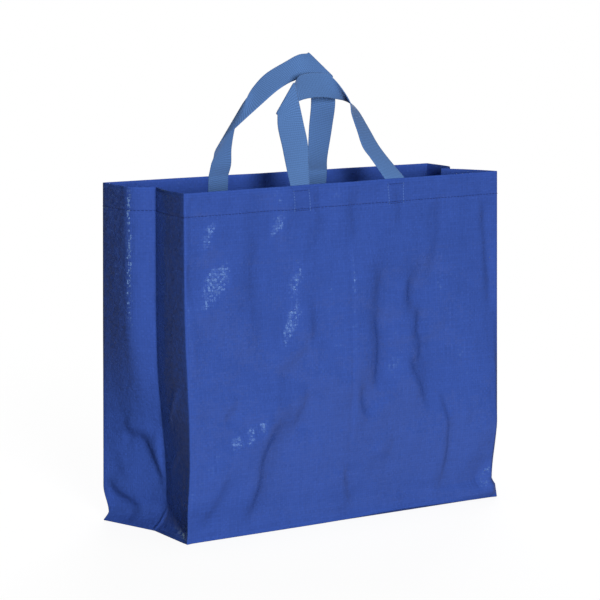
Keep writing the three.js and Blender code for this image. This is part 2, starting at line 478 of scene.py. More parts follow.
    def length(self, wall: Wall) -> float:
        """Give a wall's flat width.

        Args:
            wall: The wall.

        Returns:
            The width in millimetres.
        """
        if wall in PANELS:
            return self.width
        return math.hypot(self.depth / 2, self.left_fold_at_rim)

    def relief(self, wall: Wall, along: np.ndarray, z: np.ndarray) -> np.ndarray:
        """Add up a wall's creases, dents and ripples.

        Args:
            wall: The wall.
            along: Places along the wall, from a panel's middle or from a gusset half's start.
            z: Heights of the same places.

        Returns:
            How far each place stands out.
        """
        total = np.zeros(along.shape)
        for form in self.forms.get(wall, ()):
            total += form.relief(along, z)
        pressed = np.exp(-(((z - self.pack_height) / self.pack_width) ** 2))
        return total - self.pack_sink * pressed

    def bow(self, wall: Wall, share: np.ndarray, z: np.ndarray) -> np.ndarray:
        """Give a wall's plain outward bow.

        Args:
            wall: The wall.
            share: Shares of the wall's width, in ring order.
            z: Heights of the same places.

        Returns:
            How far each place is bowed out.
        """
        if wall in PANELS:
            return self.panel_bow * np.sin(math.pi * z / self.height) * np.sin(math.pi * share)
        if wall in FRONT_HALVES:
            rising = smooth(z, self.front_half_start, self.ease_height)
            return self.front_half_bow * rising * np.sin(math.pi * share)
        from_edge = share if wall in EDGE_FIRST else 1 - share
        shift = (self.ridge_share - self.ridge_share_low) * smooth(z, *self.ridge_shift)
        ridge = self.ridge_share_low + shift
        rising = (from_edge / ridge) ** self.ridge_curl
        bent = soft_min(rising, (1 - from_edge) / (1 - ridge), self.ridge_blend)
        return self.gusset_bow * smooth(z, *self.bow_fade) * np.maximum(bent, 0)

    def wall_at(self, wall: Wall, share: np.ndarray, z: np.ndarray) -> np.ndarray:
        """Give plan points of a wall.

        Args:
            wall: The wall.
            share: Shares of the wall's width, in ring order.
            z: Heights of the same places.

        Returns:
            A plan point for each place.
        """
        first, last = (self.corner_at(corner, z) for corner in self.ends(wall))
        is_panel = wall in PANELS
        if is_panel:
            point = first + (last - first) * share[..., None]
            from_edge = np.minimum(share, 1 - share)
            along = (share - 0.5) * self.width
        else:
            from_edge = share if wall in EDGE_FIRST else 1 - share
            edge, other = (first, last) if wall in EDGE_FIRST else (last, first)
            side = self.ends(wall)[0].side
            point = edge + (other - edge) * (from_edge / 2)[..., None]
            inward = np.zeros(point.shape)
            inward[..., 0] = -side * self.tuck_depth(from_edge, wall, z)
            point = point + inward
            along = share * self.length(wall)
        run = self.run_of(wall, z)
        outward = np.stack((run[..., 1], -run[..., 0]), axis=-1)
        off_edge = from_edge * self.length(wall)
        at_edge = smooth(off_edge, self.edge_start, self.edge_ease)
        ease = at_edge * smooth(z, 0, self.base_ease)
        if not is_panel:
            off_fold = (1 - from_edge) * self.length(wall)
            ease = ease * smooth(off_fold, self.edge_start, self.edge_ease)
        moved = self.bow(wall, share, z) + self.relief(wall, along, z) * ease
        seam = np.exp(-(((z - self.seam_height) / self.seam_width) ** 2))
        moved = moved - self.seam_sink * seam * smooth(off_edge, self.edge_start, self.seam_ease)
        if is_panel:
            rolled = np.clip(1 - z / self.roll_height, 0, 1) ** 2
            moved = moved - self.base_roll * rolled * at_edge
        return point + outward * moved[..., None]

    def run_of(self, wall: Wall, z: np.ndarray) -> np.ndarray:
        """Give a wall's straight direction in plan.

        Args:
            wall: The wall.
            z: The heights.

        Returns:
            A direction for each height, in ring order.
        """
        first, last = (self.corner_at(corner, z) for corner in self.ends(wall))
        if wall in PANELS:
            return unit(last - first)
        side = self.ends(wall)[0].side
        fold = (first + last) / 2
        fold[..., 0] = fold[..., 0] - side * self.fold_depth(side, z)
        return unit(fold - first if wall in EDGE_FIRST else last - fold)

    def bend_after(self, wall: Wall, z: np.ndarray) -> np.ndarray:
        """Give the size of the bend between a wall and the next one.

        Args:
            wall: The wall before the bend.
            z: The heights.

        Returns:
            How far the bend reaches into each wall at each height.
        """
        if wall in EDGE_AFTER:
            return np.full(z.shape, self.edge_bend)
        return self.fold_bend * (1 + self.tuck_round * self.below_tuck(z))

    def vertex_after(self, wall: Wall, z: np.ndarray) -> np.ndarray:
        """Give the sharp point between a wall and the next one.

        Args:
            wall: The wall before the point.
            z: The heights.

        Returns:
            A plan point for each height.
        """
        if wall in EDGE_AFTER:
            return self.corner_at(EDGE_AFTER[wall], z)
        fold = self.wall_at(wall, np.ones(z.shape), z)
        bead = self.tuck_bead * self.below_tuck(z) * smooth(z, 0, self.bead_rise)
        fold[..., 0] = fold[..., 0] + self.ends(wall)[0].side * bead
        return fold

    def panel_point(self, face: Face, x: np.ndarray, z: np.ndarray, inset: float) -> np.ndarray:
        """Give points of the front or back panel.

        Args:
            face: The panel.
            x: Places across the bag.
            z: Heights of the same places.
            inset: How far inside the sheet's outer surface the points lie.

        Returns:
            A point in space for each place.
        """
        share = x / self.width + 0.5
        wall = Wall.FRONT
        if face is Face.BACK:
            share = 1 - share
            wall = Wall.BACK
        plan = self.wall_at(wall, share, z)
        return np.stack((x, plan[..., 1] - face.value * inset, z), axis=-1)


@dataclass(frozen=True)
class LaminateFinish:
    """Glossy film over woven flat tapes.

    Attributes:
        colour: The sheet's colour.
        tint_spread: How much single tapes differ from it.
        pitch: The width of a tape, in metres.
        relief: The height of a tape's crown over the gap between tapes, in metres.
        shoulder: How much a crown sinks at its tape's sides, as a share of the relief.
        shoulder_power: How sharply it sinks there.
        gap_painted_shade: How much darker the gaps between tapes are painted, as painted shade.
        tilt: How much the slopes of single crowns differ.
        streak: How far a tape keeps its shade, in tapes.
        roughness: The film's roughness.
        worn_roughness: Its roughness where a fold has worn it.
        gloss: The film's reflection.
        worn_gloss: Its reflection where a fold has worn it.
    """

    colour: Triple = (0.037, 0.086, 0.37)
    tint_spread: float = 0.25
    pitch: float = 2.5 * MM
    relief: float = 0.035 * MM
    shoulder: float = 0.5
    shoulder_power: float = 3.0
    gap_painted_shade: float = 0.06
    tilt: float = 0.19
    streak: float = 14.0
    roughness: float = 0.12
    worn_roughness: float = 0.5
    gloss: float = 0.5
    worn_gloss: float = 0.1

    def material(self) -> bpy.types.Material:
        """Build the laminate's material.

        Returns:
            The material, whose weave lies in the sheet's own map.
        """
        made, kit, shader = new_material("laminate_weave")
        worn = kit.add("ShaderNodeAttribute")
        worn.attribute_name = "worn"
        for entry, fresh, dull in (
            ("Specular IOR Level", self.gloss, self.worn_gloss),
            ("Roughness", self.roughness, self.worn_roughness),
        ):
            level = kit.math("MULTIPLY_ADD", worn.outputs["Fac"], dull - fresh, fresh)
            kit.link(level, shader.inputs[entry])
        scaled = kit.vector("SCALE", kit.sheet_map(), scale=1 / self.pitch)
        cell = kit.vector("FLOOR", scaled)
        inside = kit.split(kit.vector("FRACTION", scaled))
        cells = kit.split(cell)
        lengths = kit.split(scaled)
        parity = kit.math("FRACT", kit.math("MULTIPLY", kit.math("ADD", cells[0], cells[1]), 0.5))
        level_on_top = kit.math("MULTIPLY", parity, 2)
        sunk = self.crowns(kit, inside, level_on_top)
        uneven = self.tilted(kit, inside, cell)
        kit.bump(kit.math("SUBTRACT", uneven, sunk), self.relief, shader)
        upright_shade = kit.streaks(cells[0], lengths[1], self.streak)
        level_shade = kit.streaks(cells[1], lengths[0], self.streak)
        tape = kit.blend(level_on_top, upright_shade, level_shade)
        shade = kit.math("MULTIPLY_ADD", tape, self.tint_spread, 1 - self.tint_spread / 2)
        # Painted shade: darker colour in the gaps between tapes, the deeper below the crown
        gap = kit.math("MULTIPLY_ADD", kit.math("POWER", sunk, 2), -self.gap_painted_shade, 1)
        kit.tint(self.colour, kit.math("MULTIPLY", shade, gap), shader)
        return made

    def crowns(self, kit: "NodeKit", inside: list[Socket], level_on_top: Socket) -> Socket:
        """Round the tapes of a plain weave.

        Args:
            kit: The material's nodes.
            inside: The place inside a cell of the weave.
            level_on_top: 1 where the level tape lies on top, and 0 where the upright one does.

        Returns:
            How far a place lies below its tape's crown.
        """
        squares = []
        for part in inside[:2]:
            squares.append(kit.math("POWER", kit.math("MULTIPLY_ADD", part, 2, -1), 2))
        steep = [kit.math("POWER", square, self.shoulder_power) for square in squares]
        sides = [kit.math("MULTIPLY", slope, self.shoulder) for slope in steep]
        upright = kit.math("ADD", squares[1], sides[0])
        level = kit.math("ADD", squares[0], sides[1])
        return kit.blend(level_on_top, upright, level)

    def tilted(self, kit: "NodeKit", inside: list[Socket], cell: Socket) -> Socket:
        """Tilt each crown a little, by chance.

        Args:
            kit: The material's nodes.
            inside: The place inside a cell of the weave.
            cell: The cell's number along and up.

        Returns:
            The height that the tilt adds, in reliefs.
        """
        chance = kit.add("ShaderNodeTexWhiteNoise")
        chance.noise_dimensions = "2D"
        kit.link(cell, chance.inputs["Vector"])
        slopes = []
        for drift, part in zip(kit.split(chance.outputs["Color"])[:2], inside):
            off_middle = kit.math("SUBTRACT", part, 0.5)
            slopes.append(kit.math("MULTIPLY", kit.math("SUBTRACT", drift, 0.5), off_middle))
        return kit.math("MULTIPLY", kit.math("ADD", *slopes), self.tilt * self.pitch / self.relief)


@dataclass(frozen=True)
class WebbingFinish:
    """Matte woven webbing with fine cross ribs.

    Attributes:
        colour: The webbing's colour.
        rib: The distance from rib to rib, in metres.
        slant: How far a rib climbs for each step across the strap.
        relief: The height of a rib, in metres.
        yarn: The distance from yarn to yarn across the strap, in metres.
        wander: How far a rib swings from yarn to yarn, in radians of its wave.
        yarn_height: The height of a yarn, in ribs.
        fuzz_scale: How fine the fuzz is.
        fuzz_detail: How many finer layers the fuzz has.
        fuzz_height: The height of the fuzz, in ribs.
        shade: The colour's strength at height zero and its gain up to a rib's top, as painted
            shade.
        roughness: The yarn's roughness.
        gloss: The yarn's reflection.
        sheen: The strength of the fuzz's sheen.
        sheen_roughness: The sheen's roughness.
    """

    colour: Triple = (0.083, 0.178, 0.405)
    rib: float = 2.1 * MM
    slant: float = 0.25
    relief: float = 0.16 * MM
    yarn: float = 1.9 * MM
    wander: float = 0.35
    yarn_height: float = 0.35
    fuzz_scale: float = 1400.0
    fuzz_detail: float = 3.0
    fuzz_height: float = 0.5
    shade: Point = (0.73, 0.3)
    roughness: float = 0.82
    gloss: float = 0.25
    sheen: float = 0.12
    sheen_roughness: float = 0.5

    def material(self) -> bpy.types.Material:
        """Build the webbing's material.

        Returns:
            The material, whose ribs lie in the strap's own map.
        """
        made, kit, shader = new_material("webbing_ribs")
        shader.inputs["Roughness"].default_value = self.roughness
        shader.inputs["Specular IOR Level"].default_value = self.gloss
        shader.inputs["Sheen Weight"].default_value = self.sheen
        shader.inputs["Sheen Roughness"].default_value = self.sheen_roughness
        strap_map = kit.sheet_map()
        across, along, _ = kit.split(strap_map)
        yarn = kit.math("MULTIPLY", across, 2 * math.pi / self.yarn)
        wander = kit.math("MULTIPLY", kit.math("SINE", yarn), self.wander)
        slanted = kit.math("MULTIPLY_ADD", across, self.slant, along)
        rib = kit.math("MULTIPLY_ADD", slanted, 2 * math.pi / self.rib, wander)
        ribs = kit.math("MULTIPLY_ADD", kit.math("SINE", rib), 0.5, 0.5)
        yarns = kit.math("MULTIPLY_ADD", kit.math("COSINE", yarn), 0.5, 0.5)
        fuzz = kit.add("ShaderNodeTexNoise")
        fuzz.inputs["Scale"].default_value = self.fuzz_scale
        fuzz.inputs["Detail"].default_value = self.fuzz_detail
        kit.link(strap_map, fuzz.inputs["Vector"])
        fuzzy = kit.math("MULTIPLY", fuzz.outputs["Fac"], self.fuzz_height)
        weave = kit.math("ADD", ribs, kit.math("MULTIPLY", yarns, self.yarn_height))
        height = kit.math("ADD", weave, fuzzy)
        kit.bump(height, self.relief, shader)
        # Painted shade: darker in the grooves between ribs and yarns; the fuzz adds random tone
        low, gain = self.shade
        kit.tint(self.colour, kit.math("MULTIPLY_ADD", height, gain, low), shader)
        return made


@dataclass(frozen=True)
class ThreadFinish:
    """Plain sewing thread.

    Attributes:
        colour: The thread's colour.
        roughness: The thread's roughness.
    """

    colour: Triple
    roughness: float = 0.6

    def material(self) -> bpy.types.Material:
        """Build the thread's material.

        Returns:
            The material, which is the same all over.
        """
        made, _, shader = new_material("sewing_thread")
        shader.inputs["Base Color"].default_value = (*self.colour, 1)
        shader.inputs["Roughness"].default_value = self.roughness
        return made


class NodeKit:
    """Short ways to add shader nodes to one tree."""

    def __init__(self, tree: bpy.types.NodeTree) -> None:
        """Keep the tree."""
        self.tree = tree

    def add(self, kind: str) -> bpy.types.Node:
        """Add a node of a kind."""
        return self.tree.nodes.new(kind)

    def link(self, source: Socket, target: Socket) -> None:
        """Join an output to an input."""
        self.tree.links.new(source, target)

    def put(self, value: Socket | float, target: Socket) -> None:
        """Join an output to an input, or set the input to a number.

        Args:
            value: The output, or the number.
            target: The input.
        """
        if isinstance(value, Socket):
            self.link(value, target)
        else:
            target.default_value = value

    def math(self, operation: str, *values: Socket | float) -> Socket:
        """Add a Math node.

        Args:
            operation: The node's operation.
            values: Its inputs, as outputs of other nodes or numbers.

        Returns:
            The node's output.
        """
        node = self.add("ShaderNodeMath")
        node.operation = operation
        for value, target in zip(values, node.inputs):
            self.put(value, target)
        return node.outputs[0]

    def vector(
        self,
        operation: str,
        source: Socket | None,
        scale: Socket | float = 1.0,
        constant: Triple = (0, 0, 0),
    ) -> Socket:
        """Add a Vector Math node.

        Args:
            operation: The node's operation.
            source: Its first input, or nothing where that is constant.
            scale: Its scale, where the operation has one.
            constant: Its first input where there is no source.

        Returns:
            The node's output.
        """
        node = self.add("ShaderNodeVectorMath")
        node.operation = operation
        if source is None:
            node.inputs[0].default_value = constant
        else:
            self.link(source, node.inputs[0])
        if operation == "SCALE":
            self.put(scale, node.inputs["Scale"])
        return node.outputs[0]

    def sheet_map(self) -> Socket:
        """Read the piece's own map.

        Returns:
            The place on the flat sheet, in metres.
        """
        node = self.add("ShaderNodeUVMap")
        node.uv_map = "sheet"
        return node.outputs["UV"]

    def bump(self, height: Socket, relief: float, shader: bpy.types.Node) -> None:
        """Give a shader's surface a fine relief.

        Args:
            height: The relief's height, in reliefs.
            relief: The length of one relief, in metres.
            shader: The shader.
        """
        node = self.add("ShaderNodeBump")
        node.inputs["Strength"].default_value = 1
        node.inputs["Distance"].default_value = relief
        self.link(height, node.inputs["Height"])
        self.link(node.outputs["Normal"], shader.inputs["Normal"])

    def tint(self, colour: Triple, strength: Socket, shader: bpy.types.Node) -> None:
        """Give a shader a colour of a changing strength."""
        tinted = self.vector("SCALE", None, scale=strength, constant=colour)
        self.link(tinted, shader.inputs["Base Color"])

    def split(self, source: Socket) -> list[Socket]:
        """Split a vector into its three parts.

        Args:
            source: The vector.

        Returns:
            The parts.
        """
        node = self.add("ShaderNodeSeparateXYZ")
        self.link(source, node.inputs[0])
        return list(node.outputs)

    def blend(self, share: Socket, first: Socket, second: Socket) -> Socket:
        """Mix two numbers.

        Args:
            share: The share of the second.
            first: The number at share 0.
            second: The number at share 1.

        Returns:
            The mixed number.
        """
        node = self.add("ShaderNodeMix")
        self.link(share, node.inputs["Factor"])
        self.link(first, node.inputs["A"])
        self.link(second, node.inputs["B"])
        return node.outputs["Result"]

    def beyond(self, place: Socket, centre: Triple, start: float, end: float) -> Socket:
        """Ease from 0 to 1 with the distance from a point.

        Args:
            place: The places.
            centre: The point.
            start: The distance at which the ease starts.
            end: The distance at which it ends.

        Returns:
            The eased share.
        """
        distance = self.add("ShaderNodeVectorMath")
        distance.operation = "DISTANCE"
        self.link(place, distance.inputs[0])
        distance.inputs[1].default_value = centre
        ease = self.add("ShaderNodeMapRange")
        ease.interpolation_type = "SMOOTHSTEP"
        ease.inputs["From Min"].default_value = start
        ease.inputs["From Max"].default_value = end
        self.link(distance.outputs["Value"], ease.inputs["Value"])
        return ease.outputs["Result"]

    def streaks(self, tape: Socket, along: Socket, length: float) -> Socket:
        """Give each tape a shade of its own that drifts along it.

        Args:
            tape: The tape's number.
            along: The place along the tape.
            length: How far the shade lasts.

        Returns:
            A number about one half.
        """
        place = self.add("ShaderNodeCombineXYZ")
        self.link(self.math("MULTIPLY", tape, TAPE_STRIDE), place.inputs[0])
        self.link(self.math("MULTIPLY", along, 1 / length), place.inputs[1])
        noise = self.add("ShaderNodeTexNoise")
        noise.noise_dimensions = "2D"
        noise.inputs["Scale"].default_value = 1
        noise.inputs["Detail"].default_value = 1
        self.link(place.outputs[0], noise.inputs["Vector"])
        return noise.outputs["Fac"]


def new_material(name: str) -> tuple[bpy.types.Material, NodeKit, bpy.types.Node]:
    """Make a material.

    Args:
        name: Its name.

    Returns:
        The material, a kit for its nodes and its shader.
    """
    made = bpy.data.materials.new(name)
    made.use_nodes = True
    kit = NodeKit(made.node_tree)
    return made, kit, kit.tree.nodes["Principled BSDF"]


@dataclass
class MeshParts:
    """The points, faces and map of a mesh that is being made."""

    points: list[np.ndarray] = field(default_factory=list)
    faces: list[tuple[int, ...]] = field(default_factory=list)
    maps: list[tuple[Point, ...]] = field(default_factory=list)
    count: int = 0

    def add_points(self, points: np.ndarray) -> int:
        """Add points in millimetres.

        Args:
            points: The points, of any shape that ends in three.

        Returns:
            The index of the first of them.
        """
        flat = np.asarray(points, dtype=float).reshape(-1, 3)
        first = self.count
        self.points.append(flat)
        self.count += len(flat)
        return first

    def add_face(self, face: tuple[int, ...], place: tuple[Point, ...]) -> None:
        """Add a face and the map points of its corners."""
        self.faces.append(face)
        self.maps.append(place)

    def add_rings(self, count: int, places: np.ndarray, lengths: np.ndarray) -> None:
        """Join closed rings, which are the mesh's first points, from each to the next.

        Args:
            count: The points of a ring.
            places: Their places across the map, with the closing point's at the end.
            lengths: Each ring's place up the map.
        """
        for row, (low, high) in enumerate(zip(lengths, lengths[1:])):
            lower, upper = row * count, (row + 1) * count
            for column in range(count):
                after = (column + 1) % count
                left, right = places[column], places[column + 1]
                self.add_face(
                    (lower + column, lower + after, upper + after, upper + column),
                    ((left, low), (right, low), (right, high), (left, high)),
                )

    def mesh(self, name: str, material: bpy.types.Material) -> bpy.types.Mesh:
        """Make the mesh, in metres, smooth and mapped.

        Args:
            name: The mesh's name.
            material: Its material.

        Returns:
            The new mesh.
        """
        made = bpy.data.meshes.new(name)
        made.from_pydata((np.vstack(self.points) * MM).tolist(), [], self.faces)
        layer = made.uv_layers.new(name="sheet")
        places = np.array([place for face in self.maps for place in face])
        layer.data.foreach_set("uv", places.ravel() * MM)
        made.polygons.foreach_set("use_smooth", [True] * len(made.polygons))
        made.materials.append(material)
        made.update()
        return made


def place_object(name: str, data: bpy.types.ID) -> bpy.types.Object:
    """Put data into the scene as an object at the origin.

    Args:
        name: The object's name.
        data: What it shows.

    Returns:
        The new object.
    """
    made = bpy.data.objects.new(name, data)
    bpy.context.scene.collection.objects.link(made)
    return made


def settle(piece: bpy.types.Object) -> None:
    """Turn a piece's modifiers into plain mesh.

    Args:
        piece: The piece.
    """
    graph = bpy.context.evaluated_depsgraph_get()
    done = bpy.data.meshes.new_from_object(
        piece.evaluated_get(graph), preserve_all_data_layers=True, depsgraph=graph
    )
    piece.modifiers.clear()
    piece.data = done


@dataclass
class BagBody:
    """The folded sheet with its turned hem and its base.

    Attributes:
        shape: The sheet's outer surface.
        finish: The sheet's look.
        sheet: The sheet's thickness.
        columns: The columns of each wall.
        bend_columns: The columns of each bend between two walls.
        base_bend: The size of the bend round the base.
        worn_height: How far from the base and from the rim the film is worn dull.
        ledge_fade: The heights between which the film on a gusset's back half, dull at the tuck,
            turns glossy.
        base_shares: The sizes of the base's rings, as shares of its outline.
        low_rows: The heights of the lowest rows.
        even_from: Where the even rows start.
        row_steps: The even rows' distances up to the packing line, up to the seam and up to the
            rim.
        row_gaps: How far off a line the even rows end below it and start above it.
        rim_gaps: How far below the rim the even rows and the last of the others end.
        pack_rows: The rows about the packing line.
        seam_rows: The rows about the seam.
        turn_angles: The angles of the rows round the rim.
        turn_places: Their places along the flat sheet, from the rim.
        hem_rows: How far below the rim the rows of the turned hem lie.
        wall_span: The columns' reach along a wall on the map, as shares of its width.
        bend_span: Half the width of a bend on the map.
        piece: The finished sheet.
    """

    shape: BagShape
    finish: LaminateFinish
    sheet: float = 0.35
    columns: dict[Wall, int] = field(
        default_factory=lambda: {
            Wall.FRONT: 178,
            Wall.RIGHT_FRONT: 12,
            Wall.RIGHT_BACK: 14,
            Wall.BACK: 64,
            Wall.LEFT_BACK: 32,
            Wall.LEFT_FRONT: 20,
        }
    )
    bend_columns: int = 3
    base_bend: float = 0.8
    worn_height: float = 3.0
    ledge_fade: Point = (100.0, 175.0)
    base_shares: tuple[float, ...] = (0.985, 0.93, 0.7, 0.35)
    low_rows: tuple[float, ...] = (
        *(0, 0.33, 1.1, 2.4, 4.2, 6.4, 8.8),
        *(11.4, 14.2, 17.2, 20.4, 23.6, 26.8),
    )
    even_from: float = 30.0
    row_steps: Triple = (2.95, 3.0, 3.2)
    row_gaps: Point = (3.0, 5.0)
    rim_gaps: Point = (4.0, 2.2)
    pack_rows: tuple[float, ...] = (-2.4, -1.1, 0, 1.1, 2.4)
    seam_rows: tuple[float, ...] = (-2.2, -1, 0, 1, 2.2)
    turn_angles: Triple = (135, 90, 45)
    turn_places: Triple = (0.4, 0.8, 1.2)
    hem_rows: tuple[float, ...] = (0.5, 2.5, 6, 10.5, 15, 19.5, 22.4, 23.5, 24.6, 26.4, 27.8)
    wall_span: Point = (0.004, 0.996)
    bend_span: float = 0.5
    piece: bpy.types.Object | None = None

    def heights(self) -> np.ndarray:
        """Place the outer surface's rows.

        Returns:
            The rows' heights, which are closer where the sheet bends.
        """
        shape = self.shape
        lines = ((shape.pack_height, self.pack_rows), (shape.seam_height, self.seam_rows))
        before, after = self.row_gaps
        rows = list(self.low_rows)
        start = self.even_from
        for (line, offsets), step in zip(lines, self.row_steps):
            rows += [*np.arange(start, line - before, step), *(line + offset for offset in offsets)]
            start = line + after
        end, last = (shape.height - gap for gap in self.rim_gaps)
        rows += [*np.arange(start, end, self.row_steps[-1]), last]
        return np.array([*rows, shape.height - shape.hem_layers / 2])

    def ring_rows(self, z: np.ndarray) -> np.ndarray:
        """Give the outline at heights.

        Args:
            z: The heights.

        Returns:
            Plan points by height and column, round the bag from the front left edge.
        """
        walls = list(Wall)
        runs = []
        for wall in walls:
            length = self.shape.length(wall)
            before = walls[wall.value - 1]
            start = self.shape.bend_after(before, z) / length
            end = 1 - self.shape.bend_after(wall, z) / length
            steps = np.linspace(0, 1, self.columns[wall])
            share = start[:, None] + (end - start)[:, None] * steps
            runs.append(self.shape.wall_at(wall, share, np.broadcast_to(z[:, None], share.shape)))
        parts = []
        for wall, run in zip(walls, runs):
            following = runs[(wall.value + 1) % len(runs)]
            vertex = self.shape.vertex_after(wall, z)
            share = ((np.arange(self.bend_columns) + 1) / (self.bend_columns + 1))[None, :, None]
            leaving = run[:, -1:] * (1 - share) ** 2 + vertex[:, None] * 2 * share * (1 - share)
            parts += [run, leaving + following[:, :1] * share**2]
        return np.concatenate(parts, axis=1)

    def column_places(self) -> np.ndarray:
        """Place the columns on the flat sheet.

        Returns:
            Each column's place along the sheet, with the closing column at the end.
        """
        places = []
        start = 0.0
        for wall in Wall:
            length = self.shape.length(wall)
            places += list(start + length * np.linspace(*self.wall_span, self.columns[wall]))
            start += length
            places += list(start + np.linspace(-self.bend_span, self.bend_span, self.bend_columns))
        return np.array([*places, places[0] + start])

    @staticmethod
    def outward(ring: np.ndarray) -> np.ndarray:
        """Give the plan directions that point out of a closed outline."""
        run = np.roll(ring, -1, axis=-2) - np.roll(ring, 1, axis=-2)
        return unit(np.stack((run[..., 1], -run[..., 0]), axis=-1))

    def surface(self) -> tuple[np.ndarray, np.ndarray]:
        """Give all rows of the sheet, up its outside, over the rim and down its hem.

        Returns:
            The points by row and column, and each row's place along the flat sheet.
        """
        shape = self.shape
        outer_z = self.heights()
        outer = self.ring_rows(outer_z)
        below = (1 - outer_z / self.base_bend).clip(0, 1)
        low_inset = self.base_bend * (1 - np.sqrt(np.clip(1 - below**2, 0, 1)))
        outer = outer - self.outward(outer) * low_inset[:, None, None]
        rim = self.ring_rows(np.array([shape.height - shape.hem_layers / 2]))
        turn = np.radians(self.turn_angles)
        turn_inset = shape.hem_layers / 2 * (1 + np.cos(turn))
        turned = rim - self.outward(rim) * turn_inset[:, None, None]
        turned_z = shape.height - shape.hem_layers / 2 * (1 - np.sin(turn))
        down = np.array(self.hem_rows)
        hem_z = shape.height - down
        hem = self.ring_rows(hem_z)
        hem = hem - self.outward(hem) * shape.hem_layers
        rows = np.concatenate((outer, turned, hem))
        heights = np.concatenate((outer_z, turned_z, hem_z))
        turned_flat = shape.height + np.array(self.turn_places)
        flat = np.concatenate((outer_z, turned_flat, turned_flat[-1] + down))
        raised = np.broadcast_to(heights[:, None], rows.shape[:2]).copy()
        front = slice(0, self.columns[Wall.FRONT])
        swell = np.exp(-(((rows[:, front, 0] - shape.lift_at) / shape.lift_width) ** 2))
        fading = 1 - smooth(heights, 0, shape.lift_height)
        raised[:, front] += shape.base_lift * swell * fading[:, None]
        return np.concatenate((rows, raised[..., None]), axis=-1), flat

    def build(self) -> None:
        """Make the sheet's mesh and give it its thickness."""
        rows, flat = self.surface()
        parts = MeshParts()
        parts.add_points(rows)
        parts.add_rings(rows.shape[1], self.column_places(), flat)
        self.add_base(parts, rows[0])
        mesh = parts.mesh("bag_sheet", self.finish.material())
        worn = np.zeros(parts.count)
        worn[: rows[..., 0].size] = self.worn_places(flat).ravel()
        mesh.attributes.new("worn", "FLOAT", "POINT").data.foreach_set("value", worn)
        self.piece = place_object("bag_sheet", mesh)
        thick = self.piece.modifiers.new("thickness", "SOLIDIFY")
        thick.thickness = self.sheet * MM
        thick.offset = -1
        settle(self.piece)

    def worn_places(self, flat: np.ndarray) -> np.ndarray:
        """Tell where the film is worn dull by a sharp fold.

        Args:
            flat: Each row's place along the flat sheet.

        Returns:
            1 at the folded edges and low on the gussets' back halves and 0 elsewhere, by row and
            column.
        """
        bends = []
        gussets = []
        for wall in Wall:
            bends += [False] * self.columns[wall] + [True] * self.bend_columns
            gussets += [wall in BACK_HALVES] * (self.columns[wall] + self.bend_columns)
        rim = abs(flat - self.shape.height) < self.worn_height
        folds = np.array(bends)[None, :] | (rim | (flat < self.worn_height))[:, None]
        ledge = np.array(gussets)[None, :] * (1 - smooth(flat, *self.ledge_fade))[:, None]
        return np.maximum(folds, ledge)

    def add_base(self, parts: MeshParts, edge: np.ndarray) -> None:
        """Close the bag below its lowest row.

        Args:
            parts: The mesh, whose first points are the lowest row.
            edge: The lowest row's points.
        """
        count = len(edge)
        starts = [0]
        rings = [edge]
        for share in self.base_shares:
            ring = edge * np.array([share, share, 0])
            rings.append(ring)
            starts.append(parts.add_points(ring))
        middle = parts.add_points(np.zeros((1, 3)))
        for outer, inner, far, near in zip(rings, rings[1:], starts, starts[1:]):
            for column in range(count):
                after = (column + 1) % count
                corners = (outer[column], inner[column], inner[after], outer[after])
                parts.add_face(
                    (far + column, near + column, near + after, far + after),
                    tuple((point[0], point[1]) for point in corners),
                )
        for column in range(count):
            after = (column + 1) % count
            first, second = rings[-1][column], rings[-1][after]
            parts.add_face(
                (starts[-1] + column, middle, starts[-1] + after),
                ((first[0], first[1]), (0.0, 0.0), (second[0], second[1])),
            )

    def dress(self) -> None:
        """Hand the sheet to the frame in place of its solid."""
        shape = self.shape
        around = sum(shape.length(wall) for wall in Wall)
        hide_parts("bag_body")
        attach(self.piece, "root")


@dataclass(frozen=True)
class Station:
    """A place that a strap passes.

    Attributes:
        at: Its middle, as shares of half the feet's spacing across, of the way from the strap's own
            panel to the bag's middle, and of the handle's rise.
        rule: The direction across the strap, from its outer edge to its inner edge.
    """

    at: Triple
    rule: Triple


